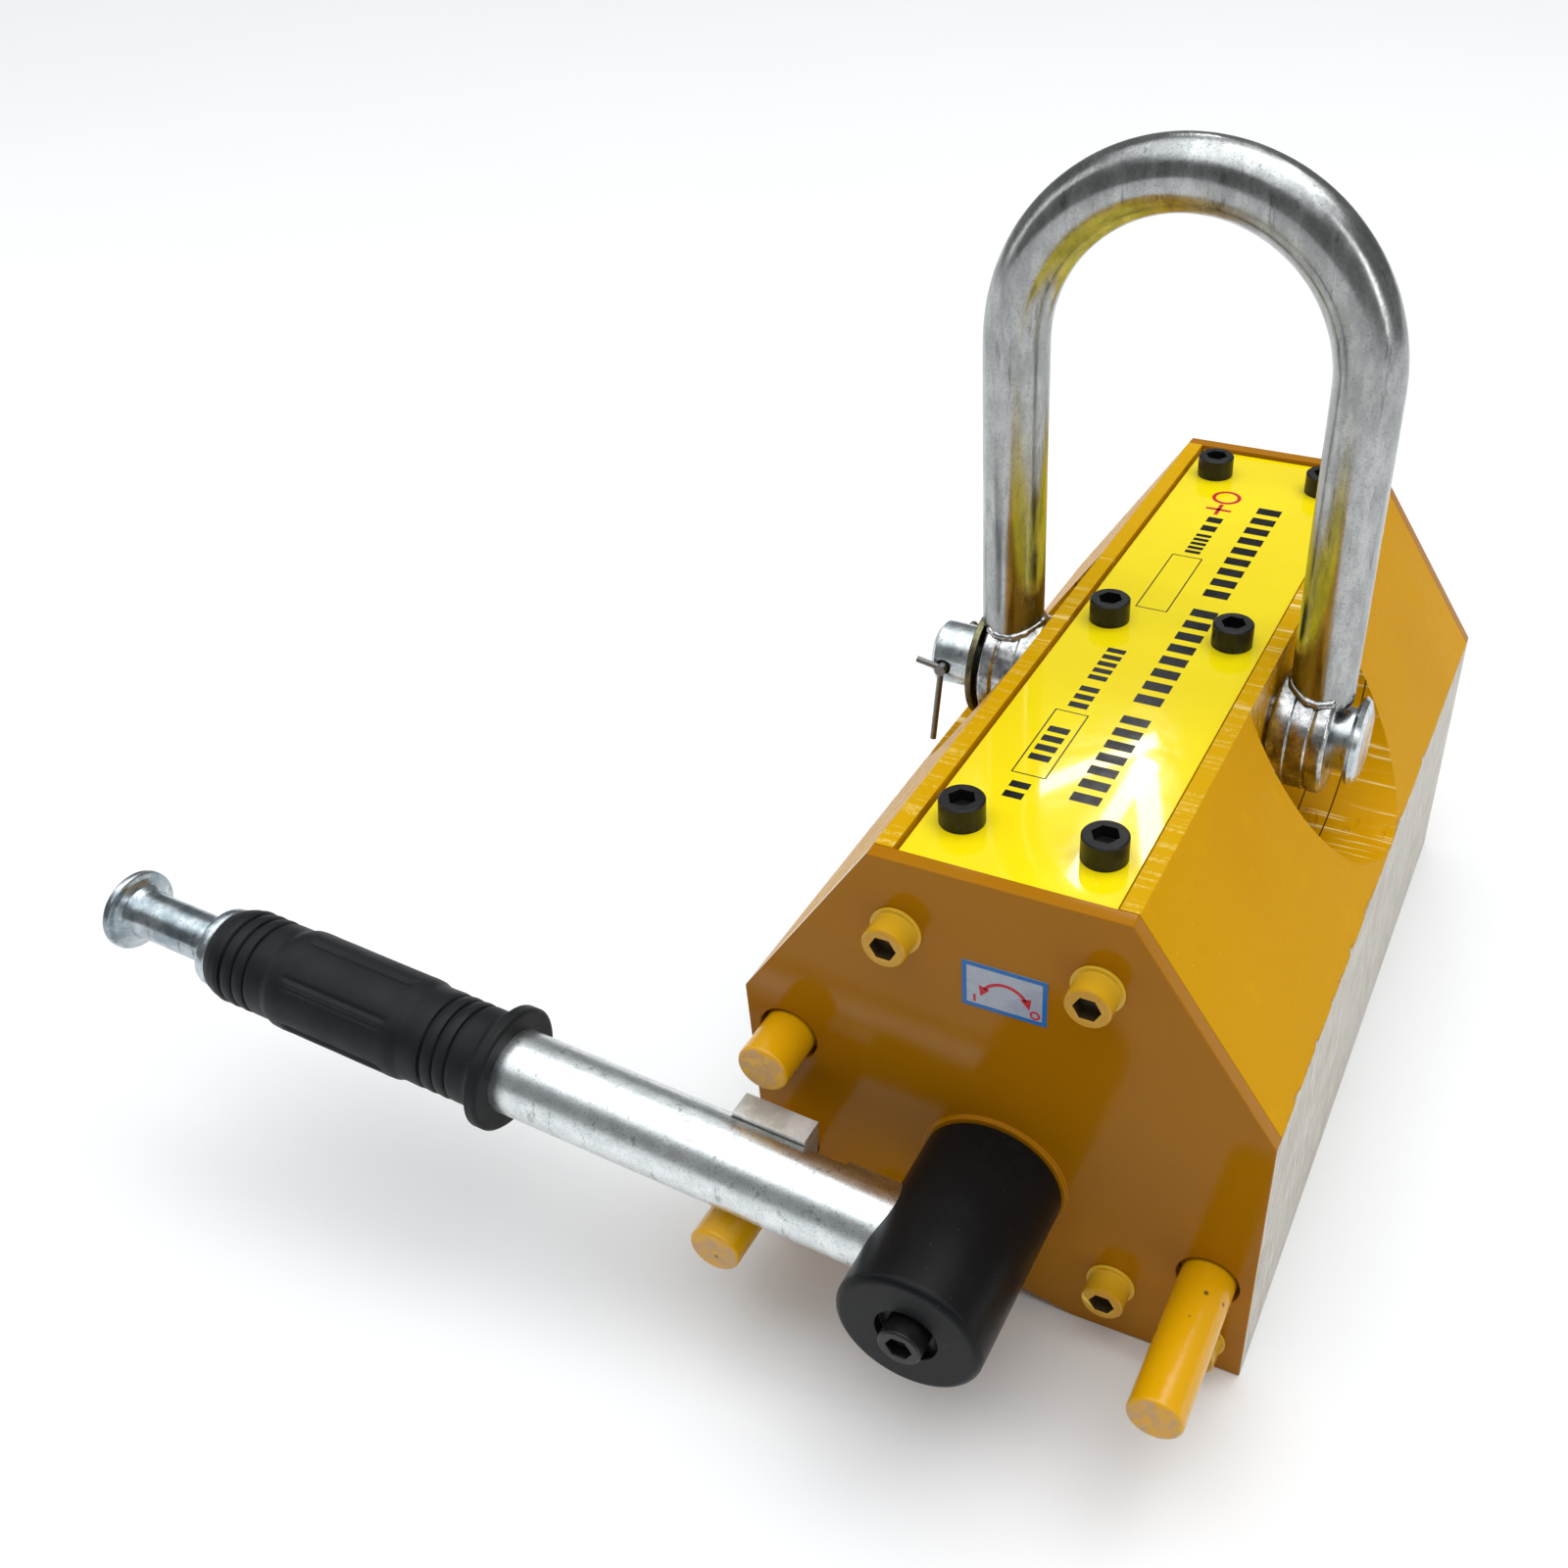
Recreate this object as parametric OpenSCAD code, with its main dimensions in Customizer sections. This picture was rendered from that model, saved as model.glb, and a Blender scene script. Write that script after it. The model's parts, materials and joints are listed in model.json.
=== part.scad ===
// Hand-lever permanent magnetic lifter.
// X runs across the two poles, Y along the body (the lever end is at -Y), Z is up.
// The origin is the middle of the pole face plane, straight under the lifting bow.

/* [Body] */
// Width across the two poles
body_w = 160; // [156:1:170]
// Height from the pole faces to the top rails
body_h = 164; // [162:1:170]
// Height of the edge where the upright side meets the slope
shoulder_h = 101; // [98:1:104]
// Width of the body across the top rails
top_w = 73.5; // [72:0.5:76]
// Length of the body with both end plates
body_len = 284; // [270:2:300]
// Thickness of each end plate
plate_t = 5; // [4:0.5:6]
// Width of one top rail
rail_w = 5.3; // [4.5:0.1:6]
// Width of the V groove between the pole faces
groove_w = 52; // [44:1:56]
// Depth of the V groove
groove_d = 6.6; // [5:0.2:7.4]

/* [Pockets] */
// Radius of the round pocket in each slope
pocket_r = 43; // [40:0.5:43]
// Height of the pocket's axis
pocket_z = 144.4; // [144:0.2:146]

/* [Rotor] */
// Height of the rotor and hub axis
rotor_z = 54.5; // [53:0.5:56]
// Radius of the magnet rotor
rotor_r = 42; // [40:0.5:42]
// Radius of the two shaft journals
journal_r = 12.5; // [11:0.5:13]

/* [Cover] */
// Thickness of the cover plate between the rails
cover_t = 3; // [2:0.5:4]
// Drop of the cover plate's face below the rails
cover_drop = 1.6; // [1:0.1:2]
// Distance along the body between neighbouring pairs of cover screws
cover_screw_pitch = 117; // [105:1:120]
// Distance of each cover screw from the middle plane
cover_screw_x = 20.3; // [19:0.1:22]

/* [Stop pins] */
// Diameter of the stop pins and the lock pin
stop_pin_d = 16.5; // [15:0.5:17]
// Distance of the right stop pin and the lock pin from the middle plane
stop_pin_x = 66.7; // [66:0.1:67.5]
// Distance of the left stop pin, which the resting handle leans on
left_stop_x = 69.5; // [68:0.1:69.8]
// Height of the two long stop pins
stop_pin_z = 39; // [38:0.5:40]
// Length of a long stop pin in front of the end plate
stop_pin_reach = 48.5; // [46:0.5:50]
// Height of the short lock pin
lock_pin_z = 86; // [85:0.5:87]
// Length of the lock pin in front of the end plate
lock_pin_reach = 16.4; // [15:0.1:16.4]

/* [Bow] */
// Diameter of the bow's round bar
bow_bar_d = 20.4; // [19:0.2:21]
// Distance from the bow's middle to each leg's centre line
bow_leg_x = 52; // [51.5:0.5:53.5]
// Height of the straight legs above the clevis pin
bow_leg_h = 112; // [100:1:130]
// Height of the clevis pin
bow_pin_z = 137; // [133:0.5:138]
// Sideways slack that the bow has taken up
bow_shift = -1.6; // [-1.8:0.1:0]
// Radius of the eye bosses
eye_r = 19.4; // [18:0.2:20]
// Diameter of the clevis pin
clevis_d = 21; // [18:0.5:21]

/* [Handle] */
// Radius of the black hub
hub_r = 22; // [21:0.5:22]
// Distance from the end plate to the hub's face
hub_reach = 61; // [59:0.2:63]
// Outer diameter of the handle tube
tube_d = 26.9; // [26:0.1:27]
// Distance from the end plate to the tube's axis
tube_reach = 32.4; // [32.4:0.1:33]
// Length from the hub's axis to the tube's outer end
tube_len = 257.5; // [255:0.5:265]
// Radius of the grip's guard flange
flange_r = 20; // [18:0.5:22]

/* [Latch] */
// Diameter of the push rod inside the tube
push_rod_d = 16; // [15:0.2:16]
// Travel of the push rod
latch_travel = 13; // [12:0.5:14]
// Length from the hub's axis to the knob's outer face
knob_end = 300; // [296:1:304]
// Radius of the knob
knob_r = 13.7; // [12:0.1:15]

/* [Hidden] */
$fn = 64;

// finishes
yellow = "goldenrod";
bright_yellow = "gold";
zinc = "silver";
black_steel = [0.1, 0.1, 0.1];
steel = "lightgray";
magnet = "dimgray";
bronze = "peru";

// body
half_w = body_w / 2;
half_top = top_w / 2;
front_y = -body_len / 2;
rear_y = body_len / 2;
pole_len = body_len - 2 * plate_t;
pole_y = front_y + plate_t;
spacer_hw = 9;
stator_hw = 14;
rail_in = half_top - rail_w;
cover_z = body_h - cover_drop;
seat_z = cover_z - cover_t;
through = 1;
slack = 0.1;
loose = 0.4;

// rotor
bore_r = rotor_r + 0.5;
spigot_t = 6;
spigot_r = bore_r - 0.1;
rotor_end_gap = 1;
rotor_half = body_len / 2 - plate_t - spigot_t - rotor_end_gap;
cap_t = 7;
rotor_gap_hw = 12;
rotor_magnet_hh = 34;
bush_r = journal_r + 3.5;
running = 0.05;
press_gap = 0.02;
rear_recess = 2;

// stator
stator_bottom = rotor_z + bore_r + 1;
stator_top = bow_pin_z - clevis_d / 2 - 3;
block_count = 4;
block_gap = 0.6;

// screws: shank radius, head radius and head height
m8_r = 4;
m8_head_r = 6.5;
m8_head_h = 7.6;
m8_key_r = 3.45;
washer_t = 1;
washer_r = 7.6;
plate_screw_len = 25;
cover_screw_len = 10.5;
cap_screw_r = 2.5;
cap_head_r = 4.4;
cap_head_h = 5;
cap_screw_len = 16;
cap_screw_circle_r = 31;
cap_hole_depth = 15;
plate_screw_places = [[28.8, 140.3], [38.2, 23], [67, 12.5]];

// stop pins
pin_r = stop_pin_d / 2;
pin_hole_r = pin_r + 1.25;
pin_depth = 30;
block_clearance = 0.6;

// hub and handle
stop_gap = 0.2;
tube_r = tube_d / 2;
tube_wall = 3;
stop_drop = rotor_z - stop_pin_z;
stop_dist = sqrt(left_stop_x * left_stop_x + stop_drop * stop_drop);
// the tube rests on the left stop pin, so its tilt follows from the pin's place
handle_tilt = asin((tube_r + pin_r + stop_gap) / stop_dist) - atan2(stop_drop, left_stop_x);
ring_r = hub_r + 1.2;
ring_t = 1.3;
hub_gap = 0.5;
hub_back = front_y - ring_t - hub_gap;
hub_face = front_y - hub_reach;
hub_round = 2.5;
hub_web = 9.2;
shaft_end = hub_face + hub_web;
shaft_tap_depth = 20;
hub_bolt_len = 22;
counterbore_d = 3.1;
counterbore_r = 9.4;
key_w = 8;
key_h = 7;
key_y = hub_back - 32;
key_len = 26;

// latch, measured along the tube from the hub's axis
rod_r = push_rod_d / 2;
rod_start = 60;
block_start = 50;
block_end = 74;
block_low = -3;
block_high = 13.6;
block_in = 7;
block_out = tube_reach - lock_pin_reach - block_clearance;
slot_slack = 0.5;
collar_in = 12;
collar_out = 4.2;
spring_wire_r = 0.9;
spring_r = 6;
spring_turns = 8;
seat_start = 24.5;
seat_len = 4;
seat_bore_r = 3;
spring_start = seat_start + seat_len;
spring_len = rod_start - spring_start;
spring_sides = 8;
spring_steps = 16 * spring_turns;
spring_gap = 0.05;

// grip, measured along the tube from the hub's axis
grip_start = 147;
grip_end = tube_len - 0.2;
grip_ring_r = 15.7;
grip_barrel_r = 16.7;
grip_groove = 0.7;
grip_inner_r = tube_r + press_gap;

// bow
bar_r = bow_bar_d / 2;
eye_in = 39.6;
eye_w = 18.6;
clevis_r = clevis_d / 2;
clevis_left = -80;
clevis_head_x = 62.4;
clevis_head_t = 3.9;
clevis_head_r = 14.4;
clevis_bore_r = clevis_r + 0.3;
clevis_washer_t = 2.4;
clevis_washer_gap = 1.4;
split_x = clevis_left + 5;

// 2D outline in X and Z, drawn out along Y from y0
module along_y(y0, len) {
    translate([0, y0 + len, 0])
        rotate([90, 0, 0])
            linear_extrude(len)
                children();
}

module rod_y(x, z, r, y0, len) {
    translate([x, y0, z])
        rotate([-90, 0, 0])
            cylinder(r = r, h = len);
}

module rod_x(x0, len, r, y, z) {
    translate([x0, y, z])
        rotate([0, 90, 0])
            cylinder(r = r, h = len);
}

// places children at every plate screw, on both sides of the middle plane
module at_plate_screws() {
    for (side = [-1, 1])
        for (p = plate_screw_places)
            translate([side * p[0], 0, p[1]])
                children();
}

// places children at every cover screw
module at_cover_screws() {
    for (side = [-1, 1])
        for (i = [-1:1])
            translate([side * cover_screw_x, i * cover_screw_pitch, 0])
                children();
}

// socket head screw pointing down -Z, its head standing on z = 0
module socket_screw(shank_r, len, head_r, head_h, key_r) {
    edge = 0.5;
    difference() {
        union() {
            translate([0, 0, -len])
                cylinder(r = shank_r, h = len + edge);
            cylinder(r = head_r, h = head_h - edge);
            translate([0, 0, head_h - edge])
                cylinder(r1 = head_r, r2 = head_r - edge, h = edge);
        }
        translate([0, 0, head_h / 2])
            cylinder(r = key_r, h = head_h, $fn = 6);
    }
}

module m8_screw(len) {
    socket_screw(m8_r, len, m8_head_r, m8_head_h, m8_key_r / cos(30));
}

// the body's section, with the V groove
module body_outline() {
    polygon([
        [-half_w, 0], [-groove_w / 2, 0], [0, groove_d], [groove_w / 2, 0], [half_w, 0],
        [half_w, shoulder_h], [half_top, body_h], [-half_top, body_h], [-half_w, shoulder_h]
    ]);
}

function groove_z(x) = groove_d * (1 - abs(x) / (groove_w / 2));

module right_pole_section() {
    difference() {
        polygon([
            [spacer_hw, groove_z(spacer_hw)], [groove_w / 2, 0], [half_w, 0],
            [half_w, shoulder_h], [half_top, body_h], [rail_in, body_h],
            [rail_in, seat_z], [stator_hw, seat_z], [stator_hw, rotor_z], [spacer_hw, rotor_z]
        ]);
        translate([0, rotor_z])
            circle(r = bore_r, $fn = 128);
    }
}

module pole_blank() {
    difference() {
        along_y(pole_y, pole_len)
            right_pole_section();
        rod_x(half_top, half_w, pocket_r, 0, pocket_z);
        rod_x(0, half_top + through, clevis_bore_r, 0, bow_pin_z);
        for (p = plate_screw_places) {
            rod_y(p[0], p[1], m8_r + slack, pole_y - through, plate_screw_len + through);
            rod_y(p[0], p[1], m8_r + slack, -pole_y - plate_screw_len, plate_screw_len + through);
        }
        for (i = [-1:1])
            translate([cover_screw_x, i * cover_screw_pitch, seat_z - cover_screw_len])
                cylinder(r = m8_r + slack, h = cover_screw_len + through);
    }
}

// a blind hole in the pole's lever end for a stop pin or the lock pin
module pin_bore(x, z) {
    rod_y(x, z, pin_r, pole_y - through, pin_depth + through);
}

module right_pole() {
    color(yellow)
        difference() {
            pole_blank();
            pin_bore(stop_pin_x, stop_pin_z);
        }
}

module left_pole() {
    color(yellow)
        difference() {
            mirror([1, 0, 0])
                pole_blank();
            pin_bore(-left_stop_x, stop_pin_z);
            pin_bore(-stop_pin_x, lock_pin_z);
        }
}

module bottom_spacer() {
    color(bronze)
        along_y(pole_y, pole_len)
            difference() {
                polygon([
                    [-spacer_hw, groove_z(spacer_hw)], [0, groove_d],
                    [spacer_hw, groove_z(spacer_hw)], [spacer_hw, rotor_z], [-spacer_hw, rotor_z]
                ]);
                translate([0, rotor_z])
                    circle(r = bore_r, $fn = 128);
            }
}

module stator_magnets() {
    pitch = pole_len / block_count;
    color(magnet)
        for (i = [0:block_count - 1])
            translate([-stator_hw, pole_y + i * pitch + block_gap / 2, stator_bottom])
                cube([2 * stator_hw, pitch - block_gap, stator_top - stator_bottom]);
}

module stator_block() {
    color(steel)
        difference() {
            translate([-stator_hw, pole_y, stator_top])
                cube([2 * stator_hw, pole_len, seat_z - stator_top]);
            rod_x(-stator_hw - through, 2 * (stator_hw + through), clevis_bore_r, 0, bow_pin_z);
        }
}

module end_plate_blank() {
    difference() {
        union() {
            along_y(front_y, plate_t)
                body_outline();
            rod_y(0, rotor_z, spigot_r, front_y, plate_t + spigot_t);
        }
        at_plate_screws()
            rod_y(0, 0, m8_r + loose, front_y - through, plate_t + 2 * through);
    }
}

module front_end_plate() {
    color(yellow)
        difference() {
            union() {
                end_plate_blank();
                rod_y(0, rotor_z, ring_r, front_y - ring_t, ring_t + plate_t);
            }
            rod_y(0, rotor_z, bush_r, front_y - ring_t - through,
                ring_t + plate_t + spigot_t + 2 * through);
            for (p = [[-left_stop_x, stop_pin_z], [stop_pin_x, stop_pin_z], [-stop_pin_x, lock_pin_z]])
                rod_y(p[0], p[1], pin_hole_r, front_y - through, plate_t + 2 * through);
        }
}

module rear_end_plate() {
    color(yellow)
        difference() {
            mirror([0, 1, 0])
                end_plate_blank();
            rod_y(0, rotor_z, bush_r, rear_y - plate_t - spigot_t - through,
                spigot_t + rear_recess + through);
        }
}

module bush(y0, len) {
    color(bronze)
        difference() {
            rod_y(0, rotor_z, bush_r, y0, len);
            rod_y(0, rotor_z, journal_r + running, y0 - through, len + 2 * through);
        }
}

module front_bush() {
    bush(front_y - ring_t, ring_t + plate_t + spigot_t);
}

module rear_bush() {
    bush(rear_y - plate_t - spigot_t, spigot_t + rear_recess);
}

module plate_screw_set() {
    at_plate_screws()
        translate([0, front_y - washer_t, 0])
            rotate([90, 0, 0])
                m8_screw(plate_screw_len);
}

module plate_washer_set() {
    at_plate_screws()
        difference() {
            rod_y(0, 0, washer_r, front_y - washer_t, washer_t);
            rod_y(0, 0, m8_r + loose, front_y - washer_t - through, washer_t + 2 * through);
        }
}

module front_plate_screws() {
    color(yellow)
        plate_screw_set();
}

module front_screw_washers() {
    color(yellow)
        plate_washer_set();
}

module rear_plate_screws() {
    color(yellow)
        mirror([0, 1, 0])
            plate_screw_set();
}

module rear_screw_washers() {
    color(yellow)
        mirror([0, 1, 0])
            plate_washer_set();
}

module cover_plate() {
    side_gap = 0.4;
    end_gap = 0.3;
    color(bright_yellow)
        difference() {
            translate([side_gap - rail_in, pole_y + end_gap, seat_z])
                cube([2 * (rail_in - side_gap), pole_len - 2 * end_gap, cover_t]);
            at_cover_screws()
                translate([0, 0, seat_z - through])
                    cylinder(r = m8_r + loose, h = cover_t + 2 * through);
        }
}

module cover_screws() {
    color(black_steel)
        at_cover_screws()
            translate([0, 0, cover_z])
                m8_screw(cover_screw_len + cover_t - slack);
}

// a plain pin in the pole, with a small chamfer at its free end
module stop_pin(x, z, reach) {
    edge = 0.8;
    rod_y(x, z, pin_r, front_y - reach + edge, reach - edge + plate_t + pin_depth);
    translate([x, front_y - reach, z])
        rotate([-90, 0, 0])
            cylinder(r1 = pin_r - edge, r2 = pin_r, h = edge);
}

module long_stop_pins() {
    color(yellow)
        for (x = [-left_stop_x, stop_pin_x])
            stop_pin(x, stop_pin_z, stop_pin_reach);
}

module lock_pin() {
    color(yellow)
        stop_pin(-stop_pin_x, lock_pin_z, lock_pin_reach);
}

module direction_label() {
    label_w = 24.6;
    label_h = 16;
    label_x = 2.8;
    label_z = 129;
    label_t = 0.3;
    color("lightsteelblue")
        translate([label_x - label_w / 2, front_y - label_t, label_z - label_h / 2])
            cube([label_w, label_t, label_h]);
}

// the rotor's two steel segments, with the tapped holes for the cap screws in both ends
module rotor_poles() {
    pole_end = rotor_half - cap_t;
    color(steel)
        difference() {
            along_y(-pole_end, 2 * pole_end)
                difference() {
                    translate([0, rotor_z])
                        circle(r = rotor_r, $fn = 128);
                    translate([-rotor_gap_hw, rotor_z - rotor_r])
                        square([2 * rotor_gap_hw, 2 * rotor_r]);
                }
            at_cap_screws() {
                rod_y(0, 0, cap_screw_r + slack, -pole_end - through, cap_hole_depth + through);
                rod_y(0, 0, cap_screw_r + slack, pole_end - cap_hole_depth,
                    cap_hole_depth + through);
            }
        }
}

module rotor_magnets() {
    total = 2 * (rotor_half - cap_t);
    pitch = total / block_count;
    color(magnet)
        for (i = [0:block_count - 1])
            translate([-rotor_gap_hw, cap_t - rotor_half + i * pitch + block_gap / 2,
                    rotor_z - rotor_magnet_hh])
                cube([2 * rotor_gap_hw, pitch - block_gap, 2 * rotor_magnet_hh]);
}

// places children at the four cap screws of one rotor end
module at_cap_screws() {
    for (side = [-1, 1])
        for (up = [-1, 1])
            translate([side * cap_screw_circle_r * cos(30), 0,
                    rotor_z + up * cap_screw_circle_r * sin(30)])
                children();
}

// end cap with its screw holes, at the rotor's lever end
module rotor_cap() {
    difference() {
        rod_y(0, rotor_z, rotor_r, -rotor_half, cap_t);
        at_cap_screws() {
            rod_y(0, 0, cap_screw_r + slack, -rotor_half - through, cap_t + 2 * through);
            rod_y(0, 0, cap_head_r + slack, -rotor_half - through, cap_head_h + through);
        }
    }
}

module front_shaft() {
    color(steel)
        difference() {
            union() {
                rotor_cap();
                rod_y(0, rotor_z, journal_r, shaft_end, -rotor_half - shaft_end + through);
            }
            translate([-key_w / 2, key_y, rotor_z + journal_r - key_h / 2])
                cube([key_w, key_len, key_h]);
            rod_y(0, rotor_z, m8_r + slack, shaft_end - through, shaft_tap_depth + through);
        }
}

module rear_shaft() {
    end_gap = 0.5;
    journal_end = rear_y - plate_t + rear_recess - end_gap;
    color(steel)
        union() {
            mirror([0, 1, 0])
                rotor_cap();
            rod_y(0, rotor_z, journal_r, rotor_half - through, journal_end - rotor_half + through);
        }
}

module cap_screw_set() {
    head_drop = 0.4;
    key_r = 2.3;
    at_cap_screws()
        translate([0, cap_head_h - rotor_half, 0])
            rotate([90, 0, 0])
                socket_screw(cap_screw_r, cap_screw_len, cap_head_r, cap_head_h - head_drop, key_r);
}

module rotor_cap_screws() {
    color(black_steel) {
        cap_screw_set();
        mirror([0, 1, 0])
            cap_screw_set();
    }
}

module hub_key() {
    fit = 0.05;
    color(steel)
        translate([fit - key_w / 2, key_y + fit, rotor_z + journal_r - key_h / 2 + fit])
            cube([key_w - 2 * fit, key_len - 2 * fit, key_h - 2 * fit]);
}

module hub() {
    hub_len = hub_back - hub_face;
    color(black_steel)
        difference() {
            translate([0, hub_face, rotor_z])
                rotate([-90, 0, 0])
                    rotate_extrude($fn = 96) {
                        translate([0, hub_round])
                            square([hub_r, hub_len - hub_round]);
                        square([hub_r - hub_round, hub_len]);
                        translate([hub_r - hub_round, hub_round])
                            circle(r = hub_round);
                    }
            rod_y(0, rotor_z, journal_r + running, shaft_end - 0.3, hub_len);
            rod_y(0, rotor_z, m8_r + loose, hub_face - through, hub_len);
            rod_y(0, rotor_z, counterbore_r, hub_face - through, counterbore_d + through);
            translate([-key_w / 2, key_y, rotor_z])
                cube([key_w, hub_back - key_y + through, journal_r + key_h / 2]);
        }
}

module hub_bolt() {
    color(black_steel)
        translate([0, hub_face + counterbore_d, rotor_z])
            rotate([90, 0, 0])
                m8_screw(hub_bolt_len);
}

// the handle's own frame: its axis runs along -X from the hub, Y is towards the body
module on_handle() {
    translate([0, front_y - tube_reach, rotor_z])
        rotate([0, handle_tilt, 0])
            children();
}

module rod_s(r, s0, s1) {
    translate([-s1, 0, 0])
        rotate([0, 90, 0])
            cylinder(r = r, h = s1 - s0);
}

// turns an outline of [radius, distance from the hub's axis] about the handle's axis
module turned_s(points) {
    rotate([0, -90, 0])
        rotate_extrude($fn = 96)
            polygon(points);
}

module latch_slot() {
    translate([-block_end - slot_slack, block_in - slot_slack, block_low - slot_slack])
        cube([block_end - block_start + latch_travel + 2 * slot_slack, tube_r,
            block_high - block_low + 2 * slot_slack]);
}

module handle_tube() {
    color(zinc)
        difference() {
            on_handle()
                difference() {
                    rod_s(tube_r, 0, tube_len);
                    rod_s(tube_r - tube_wall, -through, tube_len + through);
                    latch_slot();
                }
            rod_y(0, rotor_z, hub_r, front_y - 2 * tube_reach, 2 * tube_reach);
        }
}

module tube_collar() {
    inner = tube_r - tube_wall - press_gap;
    edge = 1.8;
    color(zinc)
        on_handle()
            difference() {
                turned_s([
                    [0, tube_len - collar_in], [inner, tube_len - collar_in],
                    [inner, tube_len], [tube_r, tube_len],
                    [tube_r, tube_len + collar_out - edge], [tube_r - edge, tube_len + collar_out],
                    [0, tube_len + collar_out]
                ]);
                rod_s(rod_r + running, 0, tube_len + 2 * collar_out);
            }
}

// one ring groove, as outline points
function ring_groove(s, r) = [[r, s], [r - grip_groove, s + 0.6], [r - grip_groove, s + 1.4], [r, s + 2]];

module grip() {
    flange_t = 4.6;
    pitch = 6.2;
    first = grip_start + flange_t + 4;
    barrel = grip_start + 31;
    barrel_end = barrel + 45;
    outer_first = barrel_end + 6;
    color(black_steel)
        on_handle()
            turned_s(concat(
                [[grip_inner_r, grip_start], [flange_r - 1, grip_start], [flange_r, grip_start + 1],
                    [flange_r, grip_start + flange_t - 1], [flange_r - 1.2, grip_start + flange_t],
                    [grip_ring_r, grip_start + flange_t + 2]],
                [for (i = [0:2]) each ring_groove(first + i * pitch, grip_ring_r)],
                [[grip_ring_r, barrel - 2], [grip_barrel_r, barrel], [grip_barrel_r, barrel_end],
                    [grip_ring_r, barrel_end + 2]],
                [for (i = [0:2]) each ring_groove(outer_first + i * pitch, grip_ring_r)],
                [[grip_ring_r, grip_end - 6.5], [grip_ring_r - 0.7, grip_end - 2.5],
                    [grip_ring_r - 1.8, grip_end], [grip_inner_r, grip_end]]
            ));
}

module spring_seat() {
    color(steel)
        on_handle()
            difference() {
                rod_s(tube_r - tube_wall - press_gap, seat_start, seat_start + seat_len);
                rod_s(seat_bore_r, 0, seat_start + seat_len + through);
            }
}

// centre line of the spring's wire, step by step
function spring_angle(i) = 360 * spring_turns * i / spring_steps;
function spring_at(i) = spring_wire_r + spring_gap
    + (spring_len - 2 * (spring_wire_r + spring_gap)) * i / spring_steps;
function spring_point(i, j) =
    let (a = spring_angle(i), b = 360 * j / spring_sides, r = spring_r + spring_wire_r * cos(b))
    [-(spring_start + spring_at(i) + spring_wire_r * sin(b)), r * cos(a), r * sin(a)];

module latch_spring() {
    last = spring_steps * spring_sides;
    color(steel)
        on_handle()
            polyhedron(
                points = [for (i = [0:spring_steps]) for (j = [0:spring_sides - 1])
                    spring_point(i, j)],
                faces = concat(
                    [[for (j = [0:spring_sides - 1]) j]],
                    [[for (j = [spring_sides - 1:-1:0]) last + j]],
                    [for (i = [0:spring_steps - 1]) for (j = [0:spring_sides - 1])
                        let (k = (j + 1) % spring_sides, a = i * spring_sides)
                        [a + k, a + j, a + spring_sides + j, a + spring_sides + k]]
                ));
}

module push_rod() {
    rim = 3;
    flare = 4;
    edge = 0.8;
    color(zinc)
        on_handle()
            turned_s([
                [0, rod_start], [rod_r - edge, rod_start], [rod_r, rod_start + edge],
                [rod_r, knob_end - rim - flare], [rod_r + 0.6, knob_end - rim - 1.6],
                [rod_r + 2.2, knob_end - rim], [knob_r - edge, knob_end - rim],
                [knob_r, knob_end - rim + edge], [knob_r, knob_end - edge],
                [knob_r - edge, knob_end], [0, knob_end]
            ]);
}

// wedge-nosed block on the push rod; it stands out through the tube's slot
module latch_block() {
    nose = 3;
    color(zinc)
        on_handle()
            difference() {
                union() {
                    translate([-block_end, 0, block_low])
                        rotate([90, 0, 0])
                            mirror([0, 0, 1])
                                translate([0, 0, block_in])
                                    linear_extrude(block_out - block_in)
                                        polygon([
                                            [0, 0], [block_end - block_start - nose, 0],
                                            [block_end - block_start, nose],
                                            [block_end - block_start, block_high - block_low],
                                            [0, block_high - block_low]
                                        ]);
                    translate([-block_end, 2, block_low])
                        cube([block_end - rod_start - 1, block_in - 2 + through, rod_r]);
                }
                rod_s(rod_r + press_gap, 0, block_end + through);
            }
}

// the two straight legs and the half-round crown, cut to fit round the eyes
module bow_bar() {
    color(zinc)
        difference() {
            translate([bow_shift, 0, bow_pin_z]) {
                for (side = [-1, 1])
                    translate([side * bow_leg_x, 0, 0])
                        cylinder(r = bar_r, h = bow_leg_h);
                translate([0, 0, bow_leg_h])
                    rotate([90, 0, 0])
                        rotate_extrude(angle = 180, $fn = 96)
                            translate([bow_leg_x, 0])
                                circle(r = bar_r);
            }
            rod_x(-body_w, 2 * body_w, eye_r, 0, bow_pin_z);
        }
}

module bow_eyes() {
    edge = 1.5;
    color(zinc)
        for (side = [-1, 1])
            translate([bow_shift + side * eye_in, 0, bow_pin_z])
                rotate([0, side * 90, 0])
                    difference() {
                        union() {
                            cylinder(r1 = eye_r - edge, r2 = eye_r, h = edge);
                            translate([0, 0, edge])
                                cylinder(r = eye_r, h = eye_w - 2 * edge);
                            translate([0, 0, eye_w - edge])
                                cylinder(r1 = eye_r, r2 = eye_r - edge, h = edge);
                        }
                        translate([0, 0, -through])
                            cylinder(r = clevis_r + slack, h = eye_w + 2 * through);
                    }
}

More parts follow.
